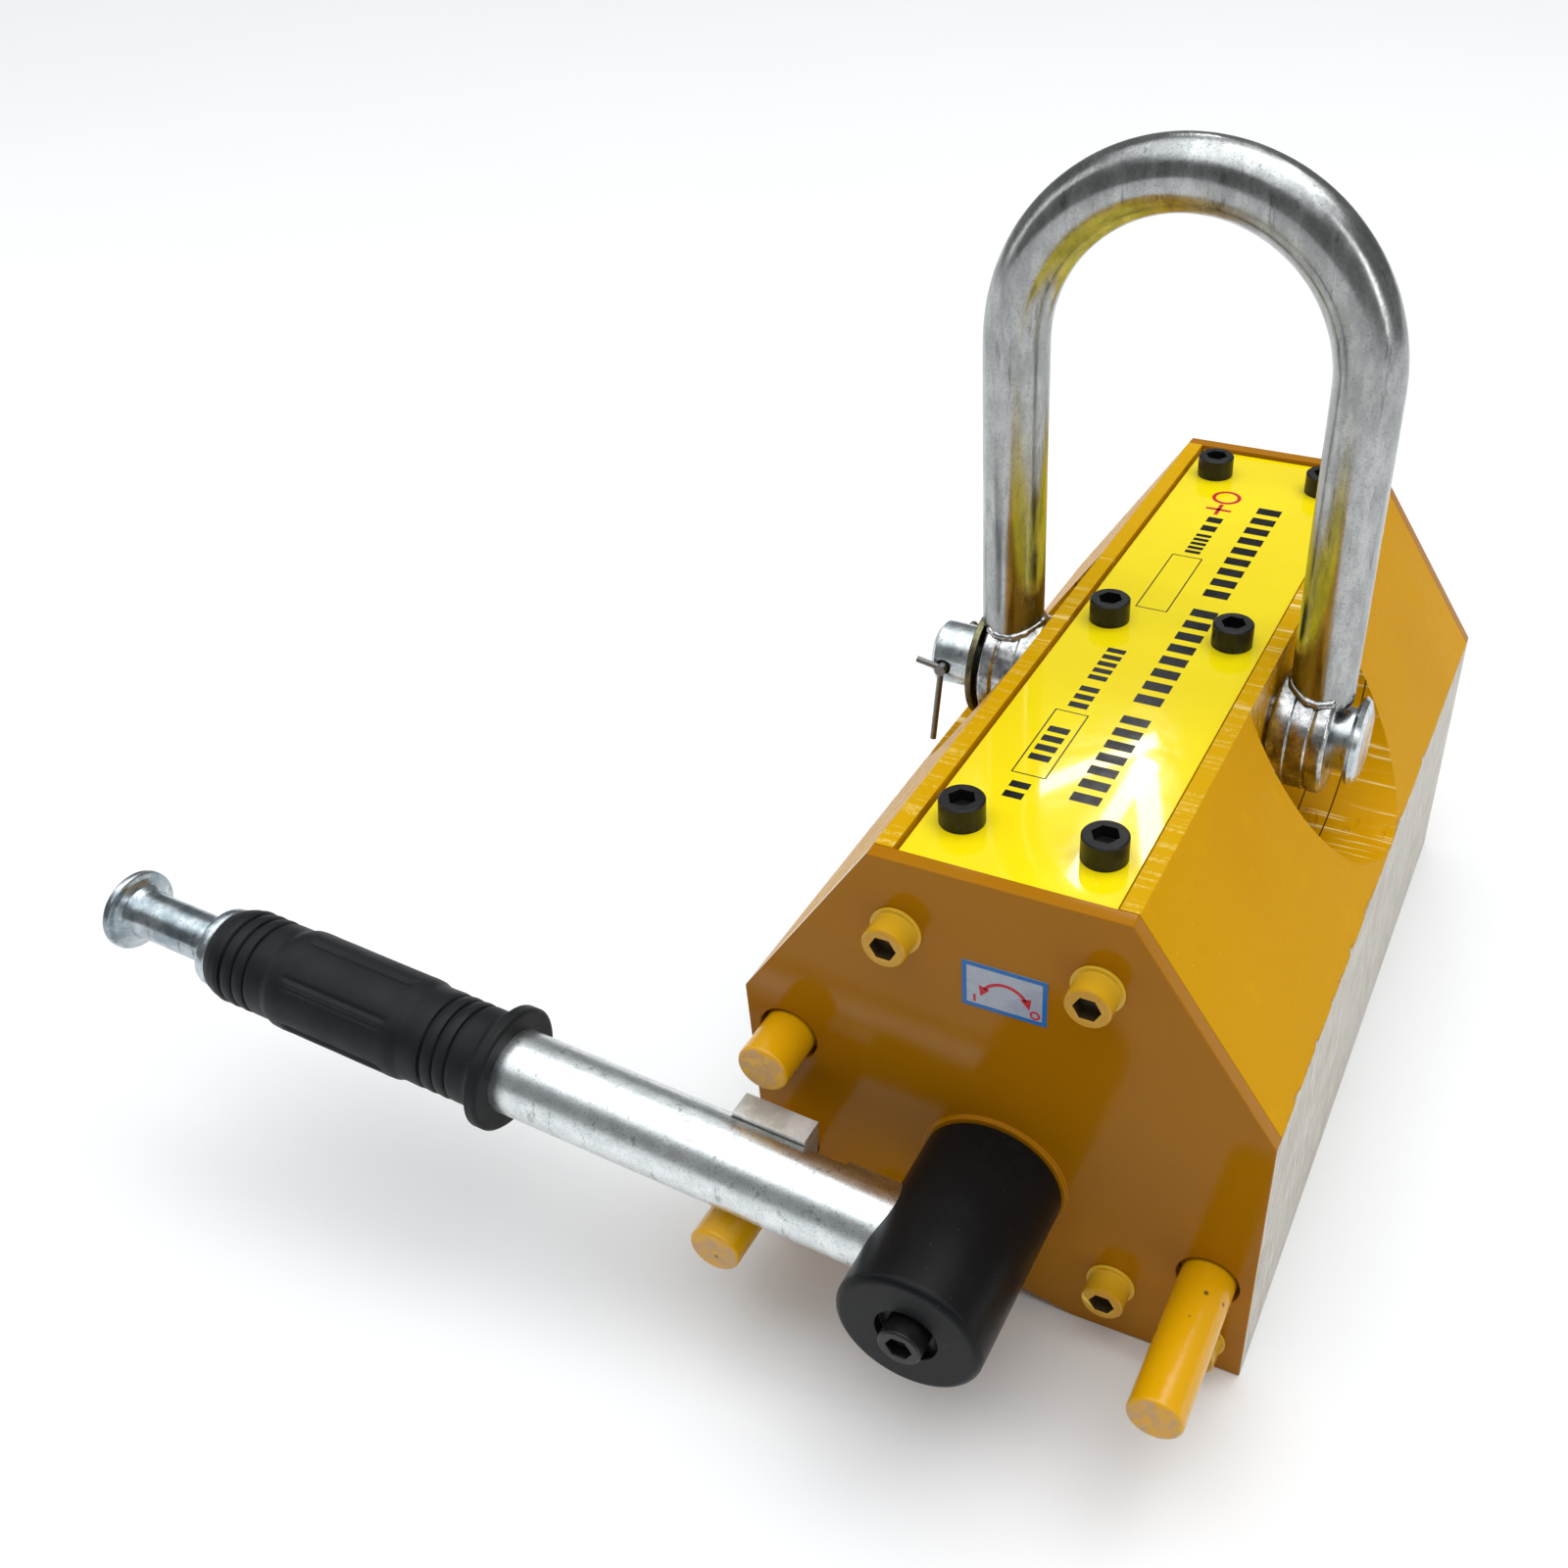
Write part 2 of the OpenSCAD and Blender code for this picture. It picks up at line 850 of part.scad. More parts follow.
module clevis_pin() {
    edge = 1.5;
    split_hole_r = 2.6;
    head_edge = 1.2;
    color(zinc)
        difference() {
            translate([0, 0, bow_pin_z])
                rotate([0, 90, 0])
                    rotate_extrude($fn = 96)
                        polygon([
                            [0, clevis_left], [clevis_r - edge, clevis_left],
                            [clevis_r, clevis_left + edge], [clevis_r, clevis_head_x],
                            [clevis_head_r - 0.8, clevis_head_x],
                            [clevis_head_r, clevis_head_x + head_edge],
                            [clevis_head_r - 1, clevis_head_x + clevis_head_t - head_edge],
                            [clevis_head_r - 4, clevis_head_x + clevis_head_t],
                            [0, clevis_head_x + clevis_head_t]
                        ]);
            rod_y(split_x, bow_pin_z, split_hole_r, -2 * clevis_r, 4 * clevis_r);
        }
}

module clevis_washer() {
    outer_r = 18.6;
    washer_x = bow_shift - eye_in - eye_w - clevis_washer_gap - clevis_washer_t;
    color(zinc)
        difference() {
            rod_x(washer_x, clevis_washer_t, outer_r, 0, bow_pin_z);
            rod_x(washer_x - through, clevis_washer_t + 2 * through, clevis_r + slack,
                0, bow_pin_z);
        }
}

// straight wire from a to b
module wire(a, b, r) {
    v = b - a;
    len = norm(v);
    translate(a)
        rotate([0, acos(v[2] / len), atan2(v[1], v[0])])
            cylinder(r = r, h = len);
}

// a ring, two legs side by side through the clevis pin, and the legs bent apart
module split_pin() {
    wire_r = 1.05;
    shank_r = 1.9;
    front = -clevis_r - 1.6;
    back = clevis_r + 1;
    loop_r = 3;
    color(steel)
        translate([split_x, 0, bow_pin_z]) {
            rod_y(0, 0, shank_r, front - 1.3, back - front + 1.6);
            translate([0, back + loop_r, 0])
                rotate([0, 90, 0])
                    rotate_extrude()
                        translate([loop_r, 0])
                            circle(r = wire_r);
            wire([0, front, -0.2], [-2.4, front - 2.6, -27], wire_r);
            wire([0, front, 0.5], [-8.5, front - 0.8, 2.6], wire_r);
        }
}

left_pole();
right_pole();
bottom_spacer();
stator_magnets();
stator_block();
front_end_plate();
rear_end_plate();
front_bush();
rear_bush();
front_plate_screws();
front_screw_washers();
rear_plate_screws();
rear_screw_washers();
cover_plate();
cover_screws();
long_stop_pins();
lock_pin();
direction_label();
rotor_poles();
rotor_magnets();
front_shaft();
rear_shaft();
rotor_cap_screws();
hub_key();
hub();
hub_bolt();
handle_tube();
tube_collar();
grip();
spring_seat();
latch_spring();
push_rod();
latch_block();
bow_bar();
bow_eyes();
clevis_pin();
clevis_washer();
split_pin();
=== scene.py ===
import json
import math

import bmesh
import bpy
from mathutils import Matrix, Quaternion, Vector, noise

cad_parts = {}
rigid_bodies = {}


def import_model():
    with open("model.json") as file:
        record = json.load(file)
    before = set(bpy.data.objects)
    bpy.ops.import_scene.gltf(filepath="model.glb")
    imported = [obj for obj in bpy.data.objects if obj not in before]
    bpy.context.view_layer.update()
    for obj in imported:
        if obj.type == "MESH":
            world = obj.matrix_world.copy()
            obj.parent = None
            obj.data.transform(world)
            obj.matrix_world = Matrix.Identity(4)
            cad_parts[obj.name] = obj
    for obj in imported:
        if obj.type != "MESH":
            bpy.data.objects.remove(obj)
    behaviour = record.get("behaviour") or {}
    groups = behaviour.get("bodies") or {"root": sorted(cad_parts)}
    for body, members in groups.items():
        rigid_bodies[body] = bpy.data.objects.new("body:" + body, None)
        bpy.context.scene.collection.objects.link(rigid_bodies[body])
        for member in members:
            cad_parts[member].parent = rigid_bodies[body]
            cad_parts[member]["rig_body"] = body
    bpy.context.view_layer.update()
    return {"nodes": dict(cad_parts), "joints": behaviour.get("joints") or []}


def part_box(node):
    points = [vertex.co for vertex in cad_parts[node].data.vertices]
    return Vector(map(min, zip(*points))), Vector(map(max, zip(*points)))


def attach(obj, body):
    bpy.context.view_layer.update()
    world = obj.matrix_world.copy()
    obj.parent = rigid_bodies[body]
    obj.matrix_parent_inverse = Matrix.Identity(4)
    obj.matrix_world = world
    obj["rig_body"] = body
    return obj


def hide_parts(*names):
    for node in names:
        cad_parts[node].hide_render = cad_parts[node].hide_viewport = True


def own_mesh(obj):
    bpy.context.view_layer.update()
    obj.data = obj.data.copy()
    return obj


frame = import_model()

NODES = frame["nodes"]
JOINTS = {j["name"]: j for j in frame["joints"]}
MM = 0.001

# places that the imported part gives
PLATE_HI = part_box("front_end_plate")[1]
HALF_W = PLATE_HI.x
BODY_H = PLATE_HI.z
HALF_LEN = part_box("rear_end_plate")[1].y
COVER_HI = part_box("cover_plate")[1]
ROTOR_Z = JOINTS["handle_turn"]["pos_m"][2]
PIN_Z = JOINTS["bow_swing"]["pos_m"][2]
HANDLE_DIR = -Vector(JOINTS["latch_slide"]["axis"]).normalized()
HANDLE_Y = (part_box("push_rod")[0].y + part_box("push_rod")[1].y) / 2
HANDLE_AT = Vector((0, HANDLE_Y, ROTOR_Z))
HANDLE_UP = HANDLE_DIR.cross(Vector((0, 1, 0))).normalized()
if HANDLE_UP.z < 0:
    HANDLE_UP = -HANDLE_UP
BOW_LO, BOW_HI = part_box("bow_bar")
BOW_X = (BOW_LO.x + BOW_HI.x) / 2
BAR_R = (BOW_HI.y - BOW_LO.y) / 2
LEG_X = BOW_HI.x - BOW_X - BAR_R
LEG_H = BOW_HI.z - PIN_Z - LEG_X - BAR_R
EYE_LO, EYE_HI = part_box("bow_eyes")
EYE_R = (EYE_HI.y - EYE_LO.y) / 2

# sizes that the frame doesn't give, the same as in the part
SHOULDER_H = 101 * MM
POCKET_Z = 144.4 * MM
POCKET_R = 43 * MM
EYE_W = 18.6 * MM
CLEVIS_R = 10.5 * MM
PLATE_SCREW_PLACES = [(28.8, 140.3), (38.2, 23), (67, 12.5)]

# this script's own sizes: the space that a screw's socket lies in, the dark gap beside the
# cover, and the angle in degrees from which a swept shape has a sharp edge
SOCKET_R = 4.2 * MM
SOCKET_DEPTH = 5 * MM
COVER_GAP = 0.55 * MM
WIRE_SHARP = 40


# ---------------------------------------------------------------- materials

class Shader:
    """One procedural material, built node by node."""

    def __init__(self, name):
        self.material = bpy.data.materials.new(name)
        self.material.use_nodes = True
        self.tree = self.material.node_tree
        self.bsdf = next(n for n in self.tree.nodes if n.type == "BSDF_PRINCIPLED")
        self.place = self.tree.nodes.new("ShaderNodeTexCoord").outputs["Object"]

    def put(self, value, socket):
        if isinstance(value, bpy.types.NodeSocket):
            self.tree.links.new(value, socket)
        elif socket.type == "RGBA" and len(value) == 3:
            socket.default_value = (*value, 1)
        else:
            socket.default_value = value

    def math(self, operation, a, b=0.0):
        node = self.tree.nodes.new("ShaderNodeMath")
        node.operation = operation
        self.put(a, node.inputs[0])
        self.put(b, node.inputs[1])
        return node.outputs[0]

    def times(self, a, b):
        return self.math("MULTIPLY", a, b)

    def inverse(self, share):
        return self.math("SUBTRACT", 1.0, share)

    def axis(self, letter):
        if not hasattr(self, "split"):
            self.split = self.tree.nodes.new("ShaderNodeSeparateXYZ")
            self.put(self.place, self.split.inputs[0])
        return self.split.outputs[letter]

    def away(self, letter):
        """Distance from the middle plane across this axis."""
        return self.math("ABSOLUTE", self.axis(letter))

    def stretched(self, scale):
        node = self.tree.nodes.new("ShaderNodeMapping")
        self.put(self.place, node.inputs["Vector"])
        node.inputs["Scale"].default_value = scale
        return node.outputs[0]

    def noise(self, scale, detail=2.0, rough=0.5, vector=None):
        node = self.tree.nodes.new("ShaderNodeTexNoise")
        self.put(self.place if vector is None else vector, node.inputs["Vector"])
        node.inputs["Scale"].default_value = scale
        node.inputs["Detail"].default_value = detail
        node.inputs["Roughness"].default_value = rough
        return node.outputs[0]

    def cells(self, scale):
        node = self.tree.nodes.new("ShaderNodeTexVoronoi")
        self.put(self.place, node.inputs["Vector"])
        node.inputs["Scale"].default_value = scale
        return node.outputs["Distance"]

    def step(self, value, low, high):
        """0 below low, 1 above high, smooth between them."""
        node = self.tree.nodes.new("ShaderNodeMapRange")
        node.interpolation_type = "SMOOTHSTEP"
        self.put(value, node.inputs["Value"])
        node.inputs["From Min"].default_value = low
        node.inputs["From Max"].default_value = high
        return node.outputs[0]

    def span(self, value, low, high, to_low, to_high):
        node = self.tree.nodes.new("ShaderNodeMapRange")
        self.put(value, node.inputs["Value"])
        limits = {"From Min": low, "From Max": high, "To Min": to_low, "To Max": to_high}
        for name, number in limits.items():
            node.inputs[name].default_value = number
        return node.outputs[0]

    def mix(self, share, a, b):
        node = self.tree.nodes.new("ShaderNodeMix")
        node.data_type = "RGBA"
        self.put(share, node.inputs["Factor"])
        self.put(a, node.inputs[6])
        self.put(b, node.inputs[7])
        return node.outputs[2]

    def blend(self, share, a, b):
        node = self.tree.nodes.new("ShaderNodeMix")
        node.data_type = "FLOAT"
        self.put(share, node.inputs["Factor"])
        self.put(a, node.inputs[2])
        self.put(b, node.inputs[3])
        return node.outputs[0]

    def edges(self, low, high):
        """1 on outward edges, 0 elsewhere."""
        return self.step(self.tree.nodes.new("ShaderNodeNewGeometry").outputs["Pointiness"], low, high)

    def bump(self, height, depth, strength=1.0, under=None):
        node = self.tree.nodes.new("ShaderNodeBump")
        self.put(height, node.inputs["Height"])
        node.inputs["Strength"].default_value = strength
        node.inputs["Distance"].default_value = depth
        if under is not None:
            self.put(under, node.inputs["Normal"])
        return node.outputs[0]

    def finish(self, colour, rough, metal=0.0, normal=None, **fixed):
        self.put(colour, self.bsdf.inputs["Base Color"])
        self.put(rough, self.bsdf.inputs["Roughness"])
        self.put(metal, self.bsdf.inputs["Metallic"])
        if normal is not None:
            self.put(normal, self.bsdf.inputs["Normal"])
        for name, value in fixed.items():
            self.bsdf.inputs[name.replace("_", " ")].default_value = value
        return self.material


GOLD = (0.590, 0.292, 0.0004)
GOLD_DEEP = (0.500, 0.225, 0.0008)
GOLD_THIN = (0.780, 0.400, 0.002)
LEMON = (0.900, 0.700, 0.001)


def paint_colour(s):
    """Brushed-on golden enamel: slow drifts of tone, thin spots, dust and dark specks."""
    drift = s.step(s.noise(14, 3), 0.35, 0.70)
    thin = s.step(s.noise(55, 4, 0.6), 0.55, 0.80)
    colour = s.mix(drift, GOLD, s.mix(0.35, GOLD, GOLD_DEEP))
    colour = s.mix(s.times(thin, 0.30), colour, GOLD_THIN)
    dust = s.inverse(s.step(s.cells(310), 0.045, 0.085))
    sparse = s.step(s.noise(38, 2), 0.52, 0.60)
    colour = s.mix(s.times(s.times(dust, sparse), 0.55), colour, (0.90, 0.70, 0.25))
    dark = s.inverse(s.step(s.cells(150), 0.020, 0.045))
    return s.mix(s.times(dark, 0.45), colour, (0.20, 0.09, 0.01))


def paint_relief(s, amount=1.0):
    """Orange peel with slow sags under it."""
    sag = s.bump(s.noise(45, 2), 0.9 * MM, 0.30 * amount)
    return s.bump(s.noise(620, 2), 0.06 * MM, 0.50 * amount, sag)


def steel_colour(s, along=(1, 1, 0.07)):
    """Ground steel: long scratches, oil stains and brown tints."""
    scratch = s.noise(900, 3, 0.7, s.stretched(along))
    colour = s.mix(s.step(scratch, 0.35, 0.65), (0.40, 0.370, 0.315), (0.70, 0.665, 0.60))
    stain = s.step(s.noise(34, 5, 0.65), 0.50, 0.72)
    colour = s.mix(s.times(stain, 0.50), colour, (0.42, 0.33, 0.22))
    spray = s.inverse(s.step(s.cells(420), 0.05, 0.11))
    near = s.step(s.noise(26, 2), 0.48, 0.62)
    return s.mix(s.times(s.times(spray, near), 0.55), colour, (0.75, 0.50, 0.10))


def body_paint():
    """Painted everywhere but the ground sides and pole faces, with a ragged edge at the shoulder."""
    s = Shader("body_paint")
    ragged = s.math("SUBTRACT", s.noise(330, 4, 0.65, s.stretched((1, 0.55, 1))), 0.5)
    wide = s.math("SUBTRACT", s.noise(48, 3), 0.5)
    drop = s.math("SUBTRACT", SHOULDER_H - 0.4 * MM, s.axis("Z"))
    drop = s.math("ADD", drop, s.times(ragged, 5.0 * MM))
    drop = s.math("ADD", drop, s.times(wide, 6.0 * MM))
    below = s.step(drop, -0.15 * MM, 0.15 * MM)
    outside = s.step(s.away("X"), HALF_W - 6 * MM, HALF_W - 5.5 * MM)
    # the end plates keep their paint up to their outer faces
    inboard = s.inverse(s.step(s.away("Y"), HALF_LEN - 0.45 * MM, HALF_LEN - 0.1 * MM))
    flank = s.step(s.away("X"), HALF_W - 0.9 * MM, HALF_W - 0.2 * MM)
    slope = s.step(s.axis("Z"), SHOULDER_H - 4 * MM, SHOULDER_H - 2 * MM)
    upright = s.math("MAXIMUM", flank, s.times(slope, outside))
    side = s.times(s.times(below, upright), inboard)
    foot = s.inverse(s.step(s.axis("Z"), 0.05 * MM, 0.5 * MM))
    groove = s.times(s.inverse(s.step(s.axis("Z"), 6.5 * MM, 7.0 * MM)), inboard)
    bare = s.math("MAXIMUM", side, s.math("MAXIMUM", foot, groove))

    colour = paint_colour(s)
    # milling marks across the two top rails, which show through the thin paint there
    rail = s.step(s.axis("Z"), BODY_H - 0.25 * MM, BODY_H - 0.1 * MM)
    mill = s.noise(700, 1, 0.5, s.stretched((0.03, 1, 0.05)))
    worn_front = s.span(s.axis("Y"), -0.14, 0.02, 1.0, 0.15)
    chipped = s.times(s.step(s.noise(900, 3, 0.7), 0.42, 0.56), worn_front)
    marks = s.times(rail, s.times(s.step(mill, 0.52, 0.60), chipped))
    colour = s.mix(rail, colour, s.mix(0.65, colour, (0.62, 0.36, 0.002)))
    colour = s.mix(s.times(marks, 0.40), colour, (0.90, 0.72, 0.22))
    # turning marks round each pocket, with a painted highlight along their streaks
    depth = s.noise(330, 3, 0.7, s.stretched((0.05, 1, 1)))
    pocket = s.inverse(s.step(pocket_distance(s), POCKET_R + 0.2 * MM, POCKET_R + 0.4 * MM))
    # painted highlight: pale yellow laid along the turning streaks
    turning_highlight = s.times(pocket, s.step(depth, 0.56, 0.68))
    colour = s.mix(s.times(turning_highlight, 0.70), colour, (0.95, 0.80, 0.36))
    scored = s.times(pocket, rings(s, (47.5 * MM, 57.5 * MM), 0.35 * MM))
    colour = s.mix(scored, colour, (0.09, 0.045, 0.002))
    colour = s.mix(bare, colour, steel_colour(s))

    # the paint's own thickness stands up at its ragged edge
    relief = paint_relief(s)
    lip = s.inverse(s.step(drop, -0.9 * MM, 0.25 * MM))
    relief = s.bump(lip, 0.45 * MM, 0.9, relief)
    relief = s.bump(s.times(rail, mill), 0.06 * MM, 0.5, relief)
    relief = s.bump(s.times(pocket, depth), 0.30 * MM, 0.8, relief)
    grind = s.noise(900, 3, 0.7, s.stretched((1, 1, 0.07)))
    relief = s.bump(s.times(bare, grind), 0.05 * MM, 0.6, relief)
    rough = s.span(s.noise(75, 4, 0.6), 0.3, 0.7, 0.24, 0.36)
    rough = s.blend(pocket, rough, 0.16)
    rough = s.blend(bare, rough, s.span(s.noise(60, 4, 0.6), 0.3, 0.7, 0.36, 0.52))
    return s.finish(colour, rough, s.times(bare, 0.45), relief, Specular_IOR_Level=0.025)


def pocket_distance(s):
    """Distance from the pockets' axis."""
    up = s.math("SUBTRACT", s.axis("Z"), POCKET_Z)
    across = s.times(s.axis("Y"), s.axis("Y"))
    square = s.math("ADD", s.times(up, up), across)
    return s.math("SQRT", square)


def rings(s, places, width):
    """1 on thin lines at these distances from the middle plane."""
    found = 0.0
    for at in places:
        off = s.math("ABSOLUTE", s.math("SUBTRACT", s.away("X"), at))
        line = s.inverse(s.step(off, width * 0.5, width))
        found = s.math("MAXIMUM", line, found)
    return found


def shaded_plate_paint():
    """The end plates: the same enamel, darkened and browned as painted shade and painted warm reflection,
    with bare ground edges at the sides.
    """
    s = Shader("shaded_plate_paint")
    # painted shade and painted warm reflection: the enamel is mixed most of the way to a dark brown
    colour = s.mix(0.75, paint_colour(s), (0.300, 0.098, 0.0008))
    inboard = s.inverse(s.step(s.away("Y"), HALF_LEN - 0.5 * MM, HALF_LEN - 0.2 * MM))
    flank = s.step(s.away("X"), HALF_W - 0.5 * MM, HALF_W - 0.1 * MM)
    ragged = s.times(s.math("SUBTRACT", s.noise(330, 4, 0.65), 0.5), 4 * MM)
    drop = s.math("ADD", s.math("SUBTRACT", SHOULDER_H - 0.5 * MM, s.axis("Z")), ragged)
    under = s.step(drop, -0.2 * MM, 0.2 * MM)
    foot = s.inverse(s.step(s.axis("Z"), 0.05 * MM, 0.4 * MM))
    bare = s.math("MAXIMUM", s.times(s.times(flank, under), inboard), foot)
    colour = s.mix(bare, colour, steel_colour(s, (1, 1, 0.06)))
    rough = s.span(s.noise(60, 4, 0.6), 0.3, 0.7, 0.10, 0.17)
    rough = s.blend(bare, rough, 0.45)
    relief = paint_relief(s, 0.35)
    return s.finish(colour, rough, s.times(bare, 0.5), relief, Specular_IOR_Level=0.14)


def pin_paint(name, face_y):
    """Painted pins whose end faces are worn through to brown steel."""
    s = Shader(name)
    colour = s.mix(0.60, paint_colour(s), GOLD_THIN)
    face = s.inverse(s.step(s.axis("Y"), face_y + 0.15 * MM, face_y + 0.5 * MM))
    worn = s.step(s.noise(240, 5, 0.7), 0.42, 0.58)
    worn = s.times(face, worn)
    chips = s.inverse(s.step(s.cells(95), 0.05, 0.09))
    colour = s.mix(s.times(worn, 0.75), colour, (0.52, 0.33, 0.19))
    colour = s.mix(s.times(chips, 0.8), colour, (0.05, 0.03, 0.02))
    colour = s.mix(s.times(s.edges(0.53, 0.60), 0.5), colour, (0.80, 0.50, 0.06))
    rough = s.blend(worn, s.span(s.noise(90, 3), 0.3, 0.7, 0.15, 0.25), 0.55)
    relief = s.bump(s.noise(280, 3), 0.18 * MM, 0.6, paint_relief(s))
    relief = s.bump(s.inverse(worn), 0.15 * MM, 0.6, relief)
    return s.finish(colour, rough, 0.0, relief, Specular_IOR_Level=0.4)


def screw_paint():
    s = Shader("screw_paint")
    colour = s.mix(0.15, paint_colour(s), (0.35, 0.15, 0.001))
    # painted highlight: a bright yellow ring on the screws' rounded edges
    colour = s.mix(s.times(s.edges(0.52, 0.57), 0.8), colour, (0.92, 0.66, 0.06))
    rough = s.span(s.noise(120, 3), 0.3, 0.7, 0.16, 0.28)
    return s.finish(colour, rough, 0.0, paint_relief(s), Specular_IOR_Level=0.4)


def cover_paint():
    """Gloss lemon enamel under a clear coat, with dust and light scuffs."""
    s = Shader("cover_paint")
    drift = s.step(s.noise(18, 3), 0.35, 0.68)
    colour = s.mix(drift, LEMON, (0.94, 0.76, 0.002))
    dust = s.inverse(s.step(s.cells(290), 0.035, 0.075))
    patch = s.step(s.noise(30, 3), 0.50, 0.62)
    dust = s.times(dust, patch)
    colour = s.mix(s.times(dust, 0.5), colour, (0.98, 0.93, 0.55))
    dark = s.inverse(s.step(s.cells(120), 0.014, 0.030))
    colour = s.mix(s.times(dark, 0.6), colour, (0.25, 0.17, 0.01))
    scuff = s.step(s.noise(500, 4, 0.7, s.stretched((1, 0.12, 1))), 0.60, 0.76)
    rough = s.blend(s.times(scuff, 0.5), 0.10, 0.30)
    relief = s.bump(s.noise(90, 2), 0.35 * MM, 0.25)
    relief = s.bump(dust, 0.05 * MM, 0.6, relief)
    return s.finish(
        colour, rough, 0.0, relief, Coat_Weight=0.8, Coat_Roughness=0.03, Specular_IOR_Level=0.2,
    )


def ink(name, colour):
    """Screen-printed ink: a little broken at its edges, under the same gloss."""
    s = Shader(name)
    worn = s.step(s.noise(420, 4, 0.7), 0.62, 0.76)
    tone = s.mix(s.times(worn, 0.20), colour, tuple(0.6 * c + 0.12 for c in colour))
    rough = s.span(s.noise(160, 3), 0.3, 0.7, 0.16, 0.30)
    relief = s.bump(s.noise(700, 2), 0.02 * MM, 0.5)
    return s.finish(tone, rough, 0.0, relief, Specular_IOR_Level=0.25)


def zinc(name, dark, light, rough=(0.24, 0.42), spangle=120, streak=(1, 1, 1), speck=0.30):
    """Zinc plate: blotches, fine speckle, dull stains and dark drawn streaks under the plate."""
    s = Shader(name)
    blotch = s.noise(spangle, 6, 0.68, s.stretched(streak))
    speckle = s.noise(1300, 3, 0.65)
    colour = s.mix(s.step(blotch, 0.36, 0.66), dark, light)
    speck_colour = tuple(0.45 * c for c in dark)
    colour = s.mix(s.times(s.step(speckle, 0.50, 0.70), speck), colour, speck_colour)
    long = s.noise(spangle * 2.2, 4, 0.7, s.stretched((streak[0], streak[1], streak[2] * 0.25)))
    streak_colour = tuple(0.30 * c for c in dark)
    colour = s.mix(s.times(s.step(long, 0.58, 0.68), 0.55), colour, streak_colour)
    dull = s.noise(spangle * 0.7, 5, 0.65, s.stretched(streak))
    rough_at = s.span(dull, 0.32, 0.68, rough[0], rough[1])
    relief = s.bump(blotch, 0.12 * MM, 0.45)
    relief = s.bump(speckle, 0.025 * MM, 0.55, relief)
    return s.finish(colour, rough_at, 1.0, relief)


def dull_zinc():
    """Cast-looking grey block, blotched where the plate is thin."""
    s = Shader("dull_zinc")
    blotch = s.noise(170, 6, 0.68)
    colour = s.mix(s.step(blotch, 0.38, 0.66), (0.36, 0.35, 0.32), (0.62, 0.61, 0.57))
    colour = s.mix(s.times(s.edges(0.52, 0.58), 0.6), colour, (0.78, 0.78, 0.76))
    rough = s.span(s.noise(210, 4), 0.3, 0.7, 0.34, 0.54)
    relief = s.bump(blotch, 0.16 * MM, 0.5)
    return s.finish(colour, rough, 0.6, relief)


def machined(name, tint, dark, rough=0.34):
    """Turned or milled metal with a fine tool texture and light handling marks."""
    s = Shader(name)
    tool = s.noise(1400, 3, 0.6)
    colour = s.mix(tool, dark, tint)
    stain = s.step(s.noise(50, 4, 0.6), 0.52, 0.72)
    colour = s.mix(s.times(stain, 0.35), colour, dark)
    spread = s.span(s.noise(90, 3), 0.3, 0.7, rough - 0.07, rough + 0.09)
    return s.finish(colour, spread, 1.0, s.bump(tool, 0.03 * MM, 0.5))


def black_oxide():
    """Oiled black screws, rubbed grey along their sharp edges."""
    s = Shader("black_oxide")
    haze = s.noise(260, 4, 0.6)
    colour = s.mix(haze, (0.004, 0.004, 0.0045), (0.013, 0.013, 0.0135))
    rub = s.times(s.edges(0.53, 0.60), s.step(s.noise(700, 3), 0.42, 0.62))
    colour = s.mix(s.times(rub, 0.6), colour, (0.20, 0.195, 0.19))
    rough = s.span(haze, 0.3, 0.7, 0.30, 0.46)
    return s.finish(colour, rough, 0.35, s.bump(s.noise(1300, 2), 0.03 * MM, 0.6))


def black_paint():
    """Satin black hub: turning lines round it and grey dust."""
    s = Shader("black_paint")
    turn = s.noise(1100, 2, 0.6, s.stretched((0.05, 1, 0.05)))
    haze = s.noise(48, 4, 0.6)
    colour = s.mix(haze, (0.0035, 0.0038, 0.0045), (0.009, 0.0095, 0.0105))
    dust = s.inverse(s.step(s.cells(330), 0.03, 0.07))
    colour = s.mix(s.times(dust, 0.35), colour, (0.16, 0.16, 0.16))
    rub = s.times(s.edges(0.52, 0.57), s.step(s.noise(420, 4), 0.45, 0.60))
    colour = s.mix(s.times(rub, 0.35), colour, (0.13, 0.13, 0.13))
    rough = s.span(haze, 0.3, 0.7, 0.27, 0.40)
    relief = s.bump(turn, 0.02 * MM, 0.5, s.bump(s.noise(160, 3), 0.08 * MM, 0.3))
    return s.finish(colour, rough, 0.0, relief, Specular_IOR_Level=0.13)


def rubber():
    """Moulded grip rubber: matt, finely pitted, polished a little where the hand goes."""
    s = Shader("grip_rubber")
    haze = s.noise(60, 4, 0.6)
    colour = s.mix(haze, (0.0055, 0.0062, 0.0075), (0.012, 0.013, 0.015))
    dust = s.inverse(s.step(s.cells(260), 0.02, 0.05))
    colour = s.mix(s.times(dust, 0.4), colour, (0.20, 0.20, 0.20))
    rough = s.span(s.noise(95, 4), 0.3, 0.7, 0.44, 0.60)
    relief = s.bump(s.noise(1700, 3, 0.6), 0.05 * MM, 0.6, s.bump(s.noise(130, 3), 0.15 * MM, 0.3))
    return s.finish(colour, rough, 0.0, relief, Specular_IOR_Level=0.2)


def label_film():
    s = Shader("label_film")
    fleck = s.noise(300, 4)
    colour = s.mix(fleck, (0.30, 0.33, 0.40), (0.38, 0.41, 0.48))
    rough = s.span(s.noise(120, 3), 0.3, 0.7, 0.20, 0.32)
    return s.finish(colour, rough, 0.0, s.bump(s.noise(160, 2), 0.05 * MM, 0.4), Coat_Weight=0.5)


